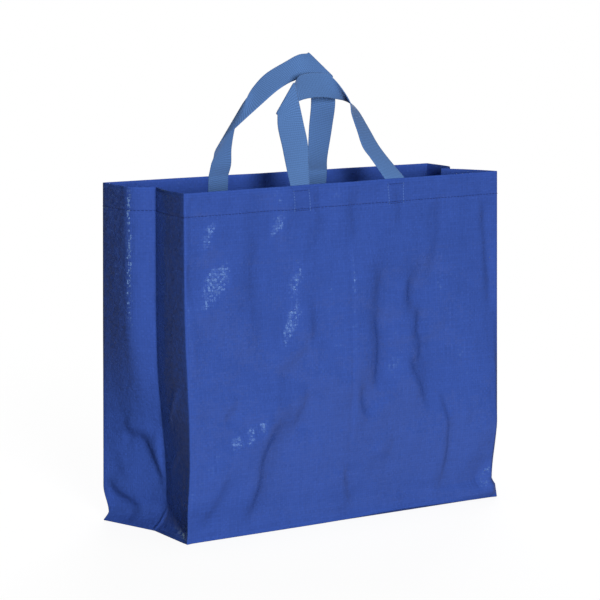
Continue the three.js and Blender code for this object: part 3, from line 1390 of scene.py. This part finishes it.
@dataclass
class Handle:
    """A length of webbing with both ends sewn to the hem and one slanted fold.

    Attributes:
        name: The handle's name, which its solid has too.
        face: The panel that it is sewn to.
        shift: How far its middle is off the bag's middle.
        before: The places that it passes from its left foot to its fold.
        after: The places that it passes from its fold to its right foot.
        fold_radius: The radius of the fold.
        shape: The bag that it is sewn to.
        finish: The webbing's look.
        width: The webbing's width.
        thickness: The webbing's thickness.
        spacing: The distance between the middles of its feet.
        rise: How far above the rim a station of rise 1 lies.
        foot: The length of a sewn foot below the rim.
        seat_gap: The gap between a foot and the hem.
        foot_steps: The rulings of a foot.
        steps: The rulings from station to station.
        fold_steps: The rulings round the fold.
        across_shares: The places of the mesh's edges across the webbing, as shares of its width.
        selvage_power: How square the webbing's section is at its selvages.
        piece: The finished strap.
    """

    name: str
    face: Face
    shift: float
    before: tuple[Station, ...]
    after: tuple[Station, ...]
    fold_radius: float
    shape: BagShape
    finish: WebbingFinish
    width: float = 25.0
    thickness: float = 1.2
    spacing: float = 121.0
    rise: float = 126.0
    foot: float = 26.0
    seat_gap: float = 0.3
    foot_steps: int = 9
    steps: int = 9
    fold_steps: int = 10
    across_shares: tuple[float, ...] = (0, 0.012, 0.04, 0.1, 0.25, 0.5, 0.75, 0.9, 0.96, 0.988, 1)
    selvage_power: int = 24
    piece: bpy.types.Object | None = None

    def seat(self, x: float, z: float) -> np.ndarray:
        """Give the middle of the strap where it lies on the inside of the hem."""
        inset = self.shape.hem_layers + self.seat_gap + self.thickness / 2
        return self.shape.panel_point(self.face, np.array(x), np.array(z), inset)

    def foot_rulings(self, side: int) -> np.ndarray:
        """Give the strap's straight foot, from its sewn end up to the rim.

        Args:
            side: -1 for the left foot, 1 for the right foot.

        Returns:
            Pairs of an outer and an inner edge point.
        """
        middle = self.shift + side * self.spacing / 2
        heights = self.shape.height - self.foot * (1 - np.linspace(0, 1, self.foot_steps))
        edges = (middle + side * self.width / 2, middle - side * self.width / 2)
        return np.array([[self.seat(x, z) for x in edges] for z in heights])

    def station_ruling(self, station: Station) -> np.ndarray:
        """Give the strap's ruling at a station.

        Args:
            station: The station.

        Returns:
            A pair of an outer and an inner edge point.
        """
        reach = self.seat(self.shift, self.shape.height)[1]
        across, lean, rise = station.at
        x = self.shift + across * self.spacing / 2
        centre = np.array((x, reach * (1 - lean), self.shape.height + rise * self.rise))
        half = np.array(station.rule) * self.width / 2
        return np.array((centre - half, centre + half))

    def folded(self, arriving: np.ndarray, fold: np.ndarray) -> np.ndarray:
        """Turn the strap back over its fold line.

        Args:
            arriving: The pair of edge points before the fold.
            fold: The pair of edge points on the fold line.

        Returns:
            Pairs of edge points round the half turn.
        """
        line = unit(fold[1] - fold[0])
        ahead = fold.mean(axis=0) - arriving.mean(axis=0)
        outward = unit(ahead - line * (ahead @ line))
        behind = np.cross(line, outward)
        behind = behind * np.sign(behind[1])
        angles = math.pi * (np.arange(self.fold_steps) + 1) / self.fold_steps
        swing = np.sin(angles)[:, None] * outward + (1 - np.cos(angles))[:, None] * behind
        return fold[None] + self.fold_radius * swing[:, None]

    def rulings(self) -> np.ndarray:
        """Give the rulings all along the strap.

        Returns:
            Pairs of an outer and an inner edge point, from the left foot to the right foot.
        """
        left, right = self.foot_rulings(-1), self.foot_rulings(1)[::-1]
        before = np.array([self.station_ruling(station) for station in self.before])
        after = np.array([self.station_ruling(station) for station in self.after])
        fold = self.folded(before[-2], before[-1])
        rising = np.concatenate((left[-1:], before))
        falling = np.concatenate((fold[-1:], after, right[:1]))
        runs = []
        for run in (rising, falling):
            edges = [flowing(run[:, edge], self.steps) for edge in (0, 1)]
            runs.append(np.stack(edges, axis=1))
        return np.concatenate((left[:-1], runs[0], fold[:-1], runs[1], right[1:]))

    def build(self) -> None:
        """Make the strap's mesh, with rounded selvages and closed ends."""
        rulings = self.rulings()
        shares = np.array(self.across_shares)
        middle = rulings[:, :1] + (rulings[:, 1:] - rulings[:, :1]) * shares[None, :, None]
        run = np.gradient(middle, axis=0)
        across = np.broadcast_to(rulings[:, 1:] - rulings[:, :1], middle.shape)
        normal = unit(np.cross(across, run))
        swell = np.sqrt(np.clip(1 - np.abs(2 * shares - 1) ** self.selvage_power, 0, 1))
        offset = normal * (self.thickness / 2 * swell)[None, :, None]
        section = np.concatenate((middle + offset, (middle - offset)[:, -2:0:-1]), axis=1)
        stretches = np.linalg.norm(np.diff(rulings.mean(axis=1), axis=0), axis=-1)
        lengths = np.concatenate(([0], np.cumsum(stretches)))
        places = np.concatenate((shares, shares[-2:0:-1], shares[:1])) * self.width
        count = section.shape[1]
        parts = MeshParts()
        parts.add_points(section)
        parts.add_rings(count, places, lengths)
        last = (len(section) - 1) * count
        ends = ((range(count - 1, -1, -1), lengths[0]), (range(last, last + count), lengths[-1]))
        for face, where in ends:
            parts.add_face(tuple(face), tuple((places[index % count], where) for index in face))
        mesh = parts.mesh(self.name, self.finish.material())
        self.piece = place_object(self.name + "_strap", mesh)
        log.info("%s: %.0f mm of webbing", self.name, lengths[-1])

    def dress(self) -> None:
        """Hand the strap to the frame in place of its solid."""
        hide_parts(self.name)
        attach(self.piece, "root")


@dataclass
class Stitching:
    """The hem's line of stitches all round and the stitched box on each foot of the handles.

    Attributes:
        body: The bag that is sewn.
        handles: The handles that are sewn on.
        hem_finish: The look of the hem's thread.
        foot_glint_finish: The look of the thread on the boxes' upright sides, painted lighter
        than the level sides' thread as a painted glint.
        inner_finish: The look of the thread on the straps' inner faces.
        pitch: The distance from stitch to stitch along the hem.
        foot_pitch: The distance from stitch to stitch round a foot's box.
        stitch: A stitch's length.
        thread: The thread's thickness.
        box_width: The width of a foot's stitched box.
        box_low: How far the box's lower side lies below the rim.
        box_high: How far its upper side lies below the rim.
        side_steps: The points along a box's side.
        grain_segments: The segments round a stitch's grain of thread.
        grain_rings: The rings along it.
        pieces: The finished stitches.
    """

    body: BagBody
    handles: tuple[Handle, ...]
    hem_finish: ThreadFinish
    foot_glint_finish: ThreadFinish
    inner_finish: ThreadFinish
    pitch: float = 4.0
    foot_pitch: float = 2.6
    stitch: float = 3.5
    thread: float = 0.7
    box_width: float = 20.4
    box_low: float = 25.0
    box_high: float = 5.6
    side_steps: int = 9
    grain_segments: int = 8
    grain_rings: int = 5
    pieces: list[bpy.types.Object] = field(default_factory=list)

    def hem_lines(self) -> list[SeamLine]:
        """Give the seam outside and inside each wall's hem.

        Returns:
            The lines, as points and outward directions.
        """
        shape = self.body.shape
        ring = self.body.ring_rows(np.array([shape.seam_height]))[0]
        out = self.body.outward(ring)
        lines = []
        first = 0
        for wall in Wall:
            run = slice(first, first + self.body.columns[wall])
            first = run.stop + self.body.bend_columns
            for inset, sign in ((0.0, 1), (shape.hem_layers, -1)):
                plan = ring[run] - out[run] * inset
                points = np.column_stack((plan, np.full(len(plan), shape.seam_height)))
                lines.append((points, np.column_stack((sign * out[run], np.zeros(len(plan))))))
        return lines

    def box_sides(self, upright: bool, inner: bool) -> list[SeamLine]:
        """Give sides of the stitched boxes.

        Args:
            upright: Whether the upright sides are given, or the level ones.
            inner: Whether they lie on the strap's inner face, or outside the panel.

        Returns:
            The sides, as points and outward directions.
        """
        half = self.box_width / 2
        lines = []
        for handle in self.handles:
            shape = handle.shape
            low, high = shape.height - self.box_low, shape.height - self.box_high
            inset = shape.hem_layers + handle.seat_gap + handle.thickness if inner else 0.0
            facing = -handle.face.value if inner else handle.face.value
            for side in (-1, 1):
                middle = handle.shift + side * handle.spacing / 2
                left, right = middle - half, middle + half
                level = [((left, low), (right, low)), ((right, high), (left, high))]
                up = [((right, low), (right, high)), ((left, high), (left, low))]
                for start, end in up if upright else level:
                    walk = np.linspace(start, end, self.side_steps)
                    points = shape.panel_point(handle.face, walk[:, 0], walk[:, 1], inset)
                    lines.append((points, np.tile((0.0, facing, 0.0), (len(points), 1))))
        return lines

    def seam(
        self, name: str, lines: list[SeamLine], pitch: float, finish: ThreadFinish
    ) -> bpy.types.Object:
        """Sew stitches along lines.

        Args:
            name: The name of the stitches' piece.
            lines: The lines, as points and outward directions.
            pitch: The distance from stitch to stitch.
            finish: The thread's look.

        Returns:
            The stitches as one plain mesh.
        """
        points, outs, edges = [], [], []
        for line, out in lines:
            first = len(points)
            points += (line * MM).tolist()
            outs += out.tolist()
            edges += [(first + index, first + index + 1) for index in range(len(line) - 1)]
        mesh = bpy.data.meshes.new(name)
        mesh.from_pydata(points, edges, [])
        facing = mesh.attributes.new("seam_out", "FLOAT_VECTOR", "POINT")
        facing.data.foreach_set("vector", np.array(outs).ravel())
        piece = place_object(name, mesh)
        tree = self.stitch_tree()
        sewn = piece.modifiers.new("stitches", "NODES")
        sewn.node_group = tree
        settings = {
            "Pitch": pitch * MM,
            "Stitch Length": self.stitch * pitch / self.pitch * MM,
            "Thread": self.thread * MM,
            "Material": finish.material(),
        }
        for item in tree.interface.items_tree:
            if item.item_type == "SOCKET" and item.in_out == "INPUT" and item.name in settings:
                sewn[item.identifier] = settings[item.name]
        settle(piece)
        return piece

    def stitch_tree(self) -> bpy.types.NodeTree:
        """Build the node tree of the stitches.

        Returns:
            The tree, which lays a grain of thread on each stitch's place.
        """
        tree = bpy.data.node_groups.new("stitch_line", "GeometryNodeTree")
        tree.interface.new_socket("Geometry", in_out="INPUT", socket_type="NodeSocketGeometry")
        for name in ("Pitch", "Stitch Length", "Thread"):
            tree.interface.new_socket(name, in_out="INPUT", socket_type="NodeSocketFloat")
        tree.interface.new_socket("Material", in_out="INPUT", socket_type="NodeSocketMaterial")
        tree.interface.new_socket("Geometry", in_out="OUTPUT", socket_type="NodeSocketGeometry")
        add = tree.nodes.new
        given = add("NodeGroupInput")
        curve = add("GeometryNodeMeshToCurve")
        spaced = add("GeometryNodeCurveToPoints")
        spaced.mode = "LENGTH"
        out = add("GeometryNodeInputNamedAttribute")
        out.data_type = "FLOAT_VECTOR"
        out.inputs["Name"].default_value = "seam_out"
        turn = add("FunctionNodeAxesToRotation")
        turn.primary_axis = "X"
        turn.secondary_axis = "Z"
        grain = add("GeometryNodeMeshUVSphere")
        grain.inputs["Segments"].default_value = self.grain_segments
        grain.inputs["Rings"].default_value = self.grain_rings
        grain.inputs["Radius"].default_value = 0.5
        size = add("ShaderNodeCombineXYZ")
        lying = add("GeometryNodeTransform")
        lying.inputs["Rotation"].default_value = (0, math.pi / 2, 0)
        drawn = add("GeometryNodeTransform")
        laid = add("GeometryNodeInstanceOnPoints")
        whole = add("GeometryNodeRealizeInstances")
        rounded = add("GeometryNodeSetShadeSmooth")
        coloured = add("GeometryNodeSetMaterial")
        done = add("NodeGroupOutput")
        for source, result, target, entry in (
            (given, "Geometry", curve, "Mesh"),
            (curve, "Curve", spaced, "Curve"),
            (given, "Pitch", spaced, "Length"),
            (spaced, "Tangent", turn, "Primary Axis"),
            (out, "Attribute", turn, "Secondary Axis"),
            (given, "Stitch Length", size, "X"),
            (given, "Thread", size, "Y"),
            (given, "Thread", size, "Z"),
            (grain, "Mesh", lying, "Geometry"),
            (lying, "Geometry", drawn, "Geometry"),
            (size, "Vector", drawn, "Scale"),
            (spaced, "Points", laid, "Points"),
            (drawn, "Geometry", laid, "Instance"),
            (turn, "Rotation", laid, "Rotation"),
            (laid, "Instances", whole, "Geometry"),
            (whole, "Geometry", rounded, "Geometry"),
            (rounded, "Geometry", coloured, "Geometry"),
            (given, "Material", coloured, "Material"),
            (coloured, "Geometry", done, "Geometry"),
        ):
            tree.links.new(source.outputs[result], target.inputs[entry])
        return tree

    def build(self) -> None:
        """Sew the hem and the four feet."""
        outside = self.box_sides(upright=True, inner=False)
        level = self.box_sides(upright=False, inner=False)
        inside = self.box_sides(upright=True, inner=True)
        inside += self.box_sides(upright=False, inner=True)
        self.pieces = [
            self.seam("hem_stitches", self.hem_lines(), self.pitch, self.hem_finish),
            # The upright sides are sewn in the lighter thread, a painted glint
            self.seam("foot_stitches", outside, self.foot_pitch, self.foot_glint_finish),
            self.seam("foot_cross_stitches", level, self.foot_pitch, self.hem_finish),
            self.seam("foot_inner_stitches", inside, self.foot_pitch, self.inner_finish),
        ]

    def dress(self) -> None:
        """Hand the stitches to the frame."""
        for piece in self.pieces:
            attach(piece, "root")


@dataclass(frozen=True)
class Lamp:
    """A rectangular studio lamp that faces the bag.

    Attributes:
        name: The lamp's name.
        bearing: Its direction from the bag in plan, in degrees from +X towards +Y.
        climb: Its direction's angle above the floor, in degrees.
        distance: Its distance from the bag, in metres.
        size: Its width and height, in metres.
        power: Its power, in watts.
        shows: Whether it lights matte colour or the film's reflections.
        tint: The colour of its light.
    """

    name: str
    bearing: float
    climb: float
    distance: float
    size: Point
    power: float
    shows: Shows
    tint: Triple = (1.0, 1.0, 1.0)

    def hang(self, aim: Vector) -> None:
        """Put the lamp into the scene.

        Args:
            aim: What it faces.
        """
        light = bpy.data.lights.new(self.name, "AREA")
        light.shape = "RECTANGLE"
        light.size, light.size_y = self.size
        light.energy = self.power
        light.color = self.tint
        bearing, climb = math.radians(self.bearing), math.radians(self.climb)
        level = math.cos(climb)
        away = Vector((math.cos(bearing) * level, math.sin(bearing) * level, math.sin(climb)))
        lamp = place_object(self.name, light)
        lamp.location = aim + away * self.distance
        lamp.rotation_euler = away.to_track_quat("Z", "Y").to_euler()
        lamp.visible_diffuse = self.shows is Shows.MATTE
        lamp.visible_glossy = self.shows is Shows.GLINT
        lamp.visible_camera = False


@dataclass
class Studio:
    """The pale floor, the surround, the lamps and the camera.

    Attributes:
        aim: What the camera looks at, in metres.
        azimuth: The camera's turn about the bag, in degrees from the front towards the bag's right.
        elevation: The camera's angle above the floor, in degrees.
        distance: The camera's distance, in metres.
        lens: The camera's focal length, in millimetres.
        sensor: The width of its sensor, in millimetres.
        sight: How far the camera sees, in metres.
        ambient: The surround's strength for light that falls on the bag.
        mirrored: The surround's strength in reflections.
        floor_colour: The floor's colour.
        floor_roughness: The floor's roughness.
        floor_lift: How much the floor is lightened for the camera.
        floor_size: The floor's half width, in metres.
        floor_drop: How far the floor lies below the bag's base, in metres.
        fade_start: Where the floor starts to fade into the white surround, in metres from the bag's
            middle.
        fade_end: Where the floor has faded into it.
        floor_mirror: The floor's strength in the front panel's reflections.
        mirror_spot: Where on the floor that strength is greatest.
        mirror_start: Where it starts to fall, in metres from that spot.
        mirror_end: Where it has fallen away.
        lamps: The lamps.
    """

    aim: Triple = (-5.116 * MM, 0, 218.14 * MM)
    azimuth: float = -36.95
    elevation: float = 7.63
    distance: float = 3.07907
    lens: float = 180
    sensor: float = 36
    sight: float = 200
    ambient: float = 0.02
    mirrored: float = 0.1
    floor_colour: float = 0.15
    floor_roughness: float = 0.9
    floor_lift: float = 0.915
    floor_size: float = 30.0
    floor_drop: float = 0.0002
    fade_start: float = 0.3
    fade_end: float = 1.3
    floor_mirror: float = 0.2
    mirror_spot: Triple = (0.25, -0.5, 0)
    mirror_start: float = 0.15
    mirror_end: float = 0.7
    lamps: tuple[Lamp, ...] = (
        Lamp("key", 247.5, 8, 8.0, (1.8, 2.2), 695, Shows.MATTE),
        Lamp("glint", 268, 12, 3.0, (1.3, 1.2), 4.2, Shows.GLINT, GLINT_TINT),
        Lamp("glint_core", 268, 12, 2.9, (0.56, 0.56), 2.8, Shows.GLINT, GLINT_TINT),
        Lamp("side_glint", 165, 2, 2.6, (0.8, 0.5), 4.4, Shows.GLINT, GLINT_TINT),
        Lamp("back_glint", 90, 12, 3.0, (1.3, 1.2), 4.2, Shows.GLINT, GLINT_TINT),
        Lamp("back", 48, 14, 8.0, (3.4, 3.4), 520, Shows.MATTE),
        Lamp("top", 60, 88, 5.0, (1.6, 1.6), 50, Shows.MATTE),
    )

    def build(self) -> None:
        """Set up the floor, the surround, the lamps and the camera."""
        self.lay_floor()
        self.light_surround()
        for lamp in self.lamps:
            lamp.hang(Vector(self.aim))
        self.set_camera()
        bpy.context.scene.view_settings.view_transform = "Standard"

    def lay_floor(self) -> None:
        """Lay the pale floor just under the bag."""
        half = self.floor_size
        mesh = bpy.data.meshes.new("floor")
        corners = [(-half, -half, 0), (half, -half, 0), (half, half, 0), (-half, half, 0)]
        mesh.from_pydata(corners, [], [(0, 1, 2, 3)])
        made, kit, shader = new_material("floor_paper")
        shader.inputs["Base Color"].default_value = (*[self.floor_colour] * 3, 1)
        shader.inputs["Roughness"].default_value = self.floor_roughness
        shader.inputs["Specular IOR Level"].default_value = 0
        shader.inputs["Emission Color"].default_value = WHITE
        rays = kit.add("ShaderNodeLightPath")
        place = kit.add("ShaderNodeTexCoord").outputs["Object"]
        far = kit.beyond(place, (0, 0, 0), self.fade_start, self.fade_end)
        lift = kit.math("MULTIPLY", rays.outputs["Is Camera Ray"], self.floor_lift)
        dim = kit.beyond(place, self.mirror_spot, self.mirror_start, self.mirror_end)
        near = kit.math("MULTIPLY_ADD", dim, -self.floor_mirror, self.floor_mirror)
        mirror = kit.math("MULTIPLY", rays.outputs["Is Glossy Ray"], near)
        kit.link(kit.math("MAXIMUM", lift, mirror), shader.inputs["Emission Strength"])
        white = kit.add("ShaderNodeEmission")
        blended = kit.add("ShaderNodeMixShader")
        kit.link(kit.math("MULTIPLY", far, rays.outputs["Is Camera Ray"]), blended.inputs[0])
        kit.link(shader.outputs["BSDF"], blended.inputs[1])
        kit.link(white.outputs["Emission"], blended.inputs[2])
        kit.link(blended.outputs["Shader"], kit.tree.nodes["Material Output"].inputs["Surface"])
        mesh.materials.append(made)
        floor = place_object("floor", mesh)
        floor.location.z = -self.floor_drop

    def light_surround(self) -> None:
        """Make the surround white for the camera and dim for the light on the bag."""
        world = bpy.context.scene.world or bpy.data.worlds.new("surround")
        bpy.context.scene.world = world
        world.use_nodes = True
        kit = NodeKit(world.node_tree)
        kit.tree.nodes.clear()
        rays = kit.add("ShaderNodeLightPath")
        direct, through = rays.outputs["Is Camera Ray"], rays.outputs["Is Transmission Ray"]
        seen = kit.math("MAXIMUM", direct, through)
        mirrored = kit.math("MULTIPLY", rays.outputs["Is Glossy Ray"], self.mirrored)
        strength = kit.math("MAXIMUM", kit.math("MAXIMUM", seen, mirrored), self.ambient)
        back = kit.add("ShaderNodeBackground")
        back.inputs["Color"].default_value = WHITE
        kit.link(strength, back.inputs["Strength"])
        out = kit.add("ShaderNodeOutputWorld")
        kit.link(back.outputs["Background"], out.inputs["Surface"])

    def set_camera(self) -> None:
        """Place the camera at the photo's viewing angle."""
        turn, climb = math.radians(self.azimuth), math.radians(self.elevation)
        level = math.cos(climb)
        away = Vector((math.sin(turn) * level, -math.cos(turn) * level, math.sin(climb)))
        data = bpy.data.cameras.new("camera")
        data.lens = self.lens
        data.sensor_width = self.sensor
        data.clip_end = self.sight
        camera = place_object("camera", data)
        camera.location = Vector(self.aim) + away * self.distance
        camera.rotation_euler = away.to_track_quat("Z", "Y").to_euler()
        bpy.context.scene.camera = camera


# The creases, dents and ripples of each wall
FRONT_FORMS = (
    Crease(((46, 285), (30, 212), (24, 96)), step=-6.4, width=19, reach=64),
    Crease(((41, 254), (33, 236), (29, 212)), step=-1.2, width=5, reach=32),
    Crease(((29, 217), (33, 196), (35, 174), (33, 151), (30, 130)), step=-2.6, width=4.2, reach=36),
    Crease(((19, 143), (12, 129), (16, 114), (26, 96)), step=-2.4, width=4.4, reach=30),
    Crease(((96, 290), (82, 236), (92, 160), (106, 88)), step=-5.8, width=16, reach=58),
    Crease(((80, 245), (78, 227), (82, 207)), step=-2.2, width=4, reach=28),
    Crease(((93, 212), (90, 192), (91, 177)), step=-2.4, width=3.6, reach=28),
    Crease(((96, 186), (93, 169), (94, 152)), step=-1.6, width=3.4, reach=28),
    Crease(((77, 169), (83, 146), (94, 128), (104, 97)), step=-2.4, width=4, reach=30),
    Crease(
        ((119, 127), (122, 110), (129, 90), (130, 65), (128, 39), (119, 7)),
        step=-2.1,
        width=3,
        reach=28,
    ),
    Crease(
        ((176, 340), (180, 300), (184, 262), (187, 226), (190, 184)),
        step=-1.6,
        width=6,
        reach=14,
        ridge=-1.6,
    ),
    Crease(((0, 322), (0.8, 200), (0, 14)), ridge=-0.9, width=2.4),
    Crease(((138, 194), (116, 184), (96, 171)), step=-1.3, width=5, reach=28),
    Crease(((154, 112), (159, 95), (152, 79)), step=-0.9, width=3, reach=20),
    Crease(((-70, 140), (-102, 78), (-124, 6)), step=-5.0, width=16, reach=54),
    Crease(
        ((-88, 113), (-104, 92), (-112, 75), (-115, 50), (-121, 28), (-130, 8)),
        step=-2.6,
        width=4.4,
        reach=34,
    ),
    Crease(((-51, 144), (-60, 125), (-76, 95)), step=-2.6, width=6, reach=34),
    Crease(((-50, 231), (-47, 204), (-53, 184)), step=-2.8, width=6, reach=34),
    Crease(((-52, 187), (-70, 172), (-99, 159)), step=-1.7, width=5, reach=28),
    Crease(((-138, 137), (-150, 128), (-162, 116)), step=-1.8, width=4, reach=26),
    Crease(((-150, 76), (-160, 50), (-174, 26), (-193, 11)), step=-2.0, width=6, reach=30),
    Crease(((-6, 60), (-3, 44), (2, 27), (8, 12)), step=-1.6, width=4, reach=28),
    Crease(((28, 64), (44, 61), (60, 62)), step=1.0, width=4, reach=20),
    Crease(
        ((-117, 336), (-119, 280), (-117, 230), (-112, 178)),
        step=-2.2,
        width=12,
        reach=44,
        ridge=-0.8,
    ),
    Crease(((-41, 345), (-38, 320), (-33, 288)), step=-1.4, width=5, reach=30),
    Crease(((1, 345), (4, 312), (9, 278)), step=-1.3, width=6, reach=30),
    Crease(((60, 345), (64, 316), (66, 288)), step=-1.5, width=5, reach=30),
    Crease(((119, 345), (116, 300), (109, 246), (112, 222)), step=-1.5, width=6, reach=32),
    Crease(((-192.5, 334), (-192.5, 310), (-193, 276)), ridge=-0.6, width=1.8),
    Crease(((-193, 328), (-190, 337), (-179, 343)), ridge=-0.7, width=2),
    Crease(((-163, 321), (-172, 302), (-182, 278)), step=2.6, width=7, reach=22),
    Crease(((-146, 282), (-163, 256), (-178, 237), (-194, 223)), step=4.2, width=11, reach=34),
    Crease(
        ((-90, 347), (-88, 328), (-84, 315), (-90, 304), (-100, 291)),
        step=2.0,
        width=5,
        reach=24,
    ),
    Crease(
        ((-62, 283), (-63, 262), (-68, 248), (-68, 232), (-70, 214), (-80, 195), (-92, 176)),
        step=2.0,
        width=5,
        reach=24,
    ),
    Crease(((-111, 118), (-113, 106), (-116, 95)), step=1.9, width=5, reach=16),
    Crease(((-127, 113), (-129, 101), (-132, 90)), step=1.9, width=5, reach=16),
    Crease(((-142, 107), (-145, 95), (-149, 84)), step=1.9, width=5, reach=16),
    Crease(((-198, 12), (-165, 9), (-118, 6)), ridge=-0.7, width=2),
    Crease(((173, 16), (185, 29), (197, 34)), step=-1.2, width=2.6, reach=12),
    Crease(((196, 46), (189, 26), (179, 2)), step=3.9, width=9.5, reach=18),
    Dent((130, 235), (26, 46), 2.0),
    Dent((188, 90), (50, 80), 8.0),
    Dent((60, 80), (40, 60), -1.6),
    Dent((70, 8), (70, 12), -1.8),
    Ripples(0.22, 34, seed=3),
    Ripples(0.3, 52, seed=21, spread=1.2),
)
LEFT_BACK_FORMS = (
    Crease(((26, 99), (44, 95), (70, 94)), step=2.6, width=5, reach=18),
    Crease(((47, 98), (58, 80), (68, 60), (78, 40)), step=2.8, width=4, reach=22),
    Crease(((4, 40), (25, 28), (50, 15)), step=2.8, width=4.4, reach=20),
    Crease(((16, 76), (22, 58), (34, 44)), step=0.9, width=4, reach=16),
    Ripples(0.12, 22, seed=7),
)
LEFT_FRONT_FORMS = (
    Crease(((58, 154), (38, 128), (20, 102)), ridge=1.6, width=3.6),
    Crease(((62, 96), (34, 76), (12, 56)), ridge=1.4, width=3.6),
    Crease(((30, 300), (36, 260), (28, 210)), ridge=0.9, width=4.5),
    Ripples(0.12, 22, seed=8),
)
BACK_FORMS = (
    Crease(((120, 330), (112, 260), (124, 190)), step=-3.0, width=9, reach=46),
    Crease(((-60, 320), (-66, 260), (-52, 170), (-60, 90)), step=-2.8, width=9, reach=46),
    Crease(((30, 210), (18, 160), (34, 96)), step=-3.0, width=8, reach=40),
    Crease(((-140, 180), (-128, 120), (-146, 40)), step=-2.6, width=8, reach=40),
    Crease(((150, 124), (130, 70), (142, 14)), step=-2.4, width=8, reach=36),
    Crease(((-18, 345), (-12, 300), (-22, 255)), step=-1.8, width=8, reach=36),
    Crease(((75, 345), (82, 300), (72, 262)), step=-1.8, width=8, reach=36),
    Crease(((-104, 332), (-114, 290), (-100, 246)), step=2.2, width=9, reach=36),
    Crease(((62, 92), (84, 50), (78, 8)), step=-2.0, width=8, reach=36),
    Ripples(0.3, 40, seed=5),
)
RIGHT_FRONT_FORMS = (
    Crease(((22, 170), (44, 130), (60, 96)), ridge=1.2, width=7),
    Crease(((62, 72), (40, 50), (14, 30)), step=-1.4, width=7, reach=24),
    Ripples(0.12, 22, seed=9),
)
RIGHT_BACK_FORMS = (
    Crease(((12, 150), (36, 110), (60, 84)), step=-2.0, width=7, reach=24),
    Crease(((58, 236), (46, 196), (56, 150)), step=1.4, width=7, reach=24),
    Ripples(0.12, 22, seed=10),
)
WALL_FORMS = {
    Wall.FRONT: FRONT_FORMS,
    Wall.RIGHT_FRONT: RIGHT_FRONT_FORMS,
    Wall.RIGHT_BACK: RIGHT_BACK_FORMS,
    Wall.BACK: BACK_FORMS,
    Wall.LEFT_BACK: LEFT_BACK_FORMS,
    Wall.LEFT_FRONT: LEFT_FRONT_FORMS,
}

# The stations of each handle, from its left foot to its fold and on to its right foot
FRONT_BEFORE = (
    Station((-0.93, 0.15, 0.14), (1.02, -0.12, 0.08)),
    Station((-0.82, 0.33, 0.29), (0.97, -0.42, 0.08)),
    Station((-0.74, 0.53, 0.46), (0.92, -0.48, 0.19)),
    Station((-0.68, 0.7, 0.655), (1, 0.16, 1.2)),
)
FRONT_AFTER = (
    Station((-0.28, 0.8, 0.73), (0, 0.13, 0.99)),
    Station((0.2, 0.85, 0.74), (-0.03, 0.1, 0.99)),
    Station((0.42, 0.85, 0.72), (-0.25, -0.1, 0.96)),
    Station((0.78, 0.83, 0.59), (-0.6, -0.78, 0.1)),
    Station((0.78, 0.72, 0.52), (-0.79, -0.61, -0.06)),
    Station((0.78, 0.53, 0.385), (-0.9, -0.43, -0.09)),
    Station((0.78, 0.34, 0.25), (-0.98, -0.2, -0.02)),
    Station((0.84, 0.22, 0.165), (-0.99, -0.12, 0.04)),
)
BACK_BEFORE = (
    Station((-1.02, 0.03, 0.08), (1, -0.06, 0.07)),
    Station((-1.05, 0.1, 0.17), (0.87, -0.22, 0.63)),
    Station((-1.05, 0.2, 0.29), (0.75, -0.53, 1.38)),
    Station((-1.04, 0.32, 0.4), (0.87, -0.76, 1.96)),
    Station((-1, 0.44, 0.47), (0.69, -0.51, 1.57)),
    Station((-0.93, 0.59, 0.54), (0.41, -0.06, 1.14)),
    Station((-0.74, 0.67, 0.64), (0.09, 0.6, 0.69)),
    Station((-0.43, 0.74, 0.77), (-0.18, 0.77, 0.56)),
    Station((-0.09, 0.78, 0.85), (0.03, 0.63, 0.75)),
    Station((0.17, 0.83, 0.89), (-0.17, 0.38, 0.93)),
    Station((0.53, 0.84, 0.89), (-1.2, 0.08, 1.02)),
)
BACK_AFTER = (
    Station((0.655, 0.74, 0.61), (-0.8, 0.6, -0.02)),
    Station((0.77, 0.5, 0.37), (-0.94, 0.35, 0.02)),
    Station((0.9, 0.22, 0.1), (-0.99, 0.05, 0.09)),
)


def main() -> None:
    """Build the bag, its handles, its stitches and the studio, and report each piece."""
    logging.basicConfig(level=logging.INFO, format="%(name)s: %(message)s")
    shape = BagShape(forms=WALL_FORMS)
    body = BagBody(shape, LaminateFinish())
    webbing = WebbingFinish()
    front = Handle(
        "front_handle",
        Face.FRONT,
        shift=2.5,
        before=FRONT_BEFORE,
        after=FRONT_AFTER,
        fold_radius=1.1,
        shape=shape,
        finish=webbing,
    )
    back = Handle(
        "back_handle",
        Face.BACK,
        shift=-4,
        before=BACK_BEFORE,
        after=BACK_AFTER,
        fold_radius=1.0,
        shape=shape,
        finish=webbing,
    )
    stitching = Stitching(
        body,
        (front, back),
        hem_finish=ThreadFinish((0.012, 0.027, 0.14)),
        # The boxes' upright sides get a lighter copy of the thread, a painted glint
        foot_glint_finish=ThreadFinish((0.1, 0.19, 0.48)),
        inner_finish=ThreadFinish((0.09, 0.19, 0.43)),
    )
    for assembly in (body, front, back, stitching):
        assembly.build()
        assembly.dress()
        log.info("built and dressed %s", type(assembly).__name__)
    Studio().build()
    log.info("studio set")


if __name__ == "__main__":
    main()
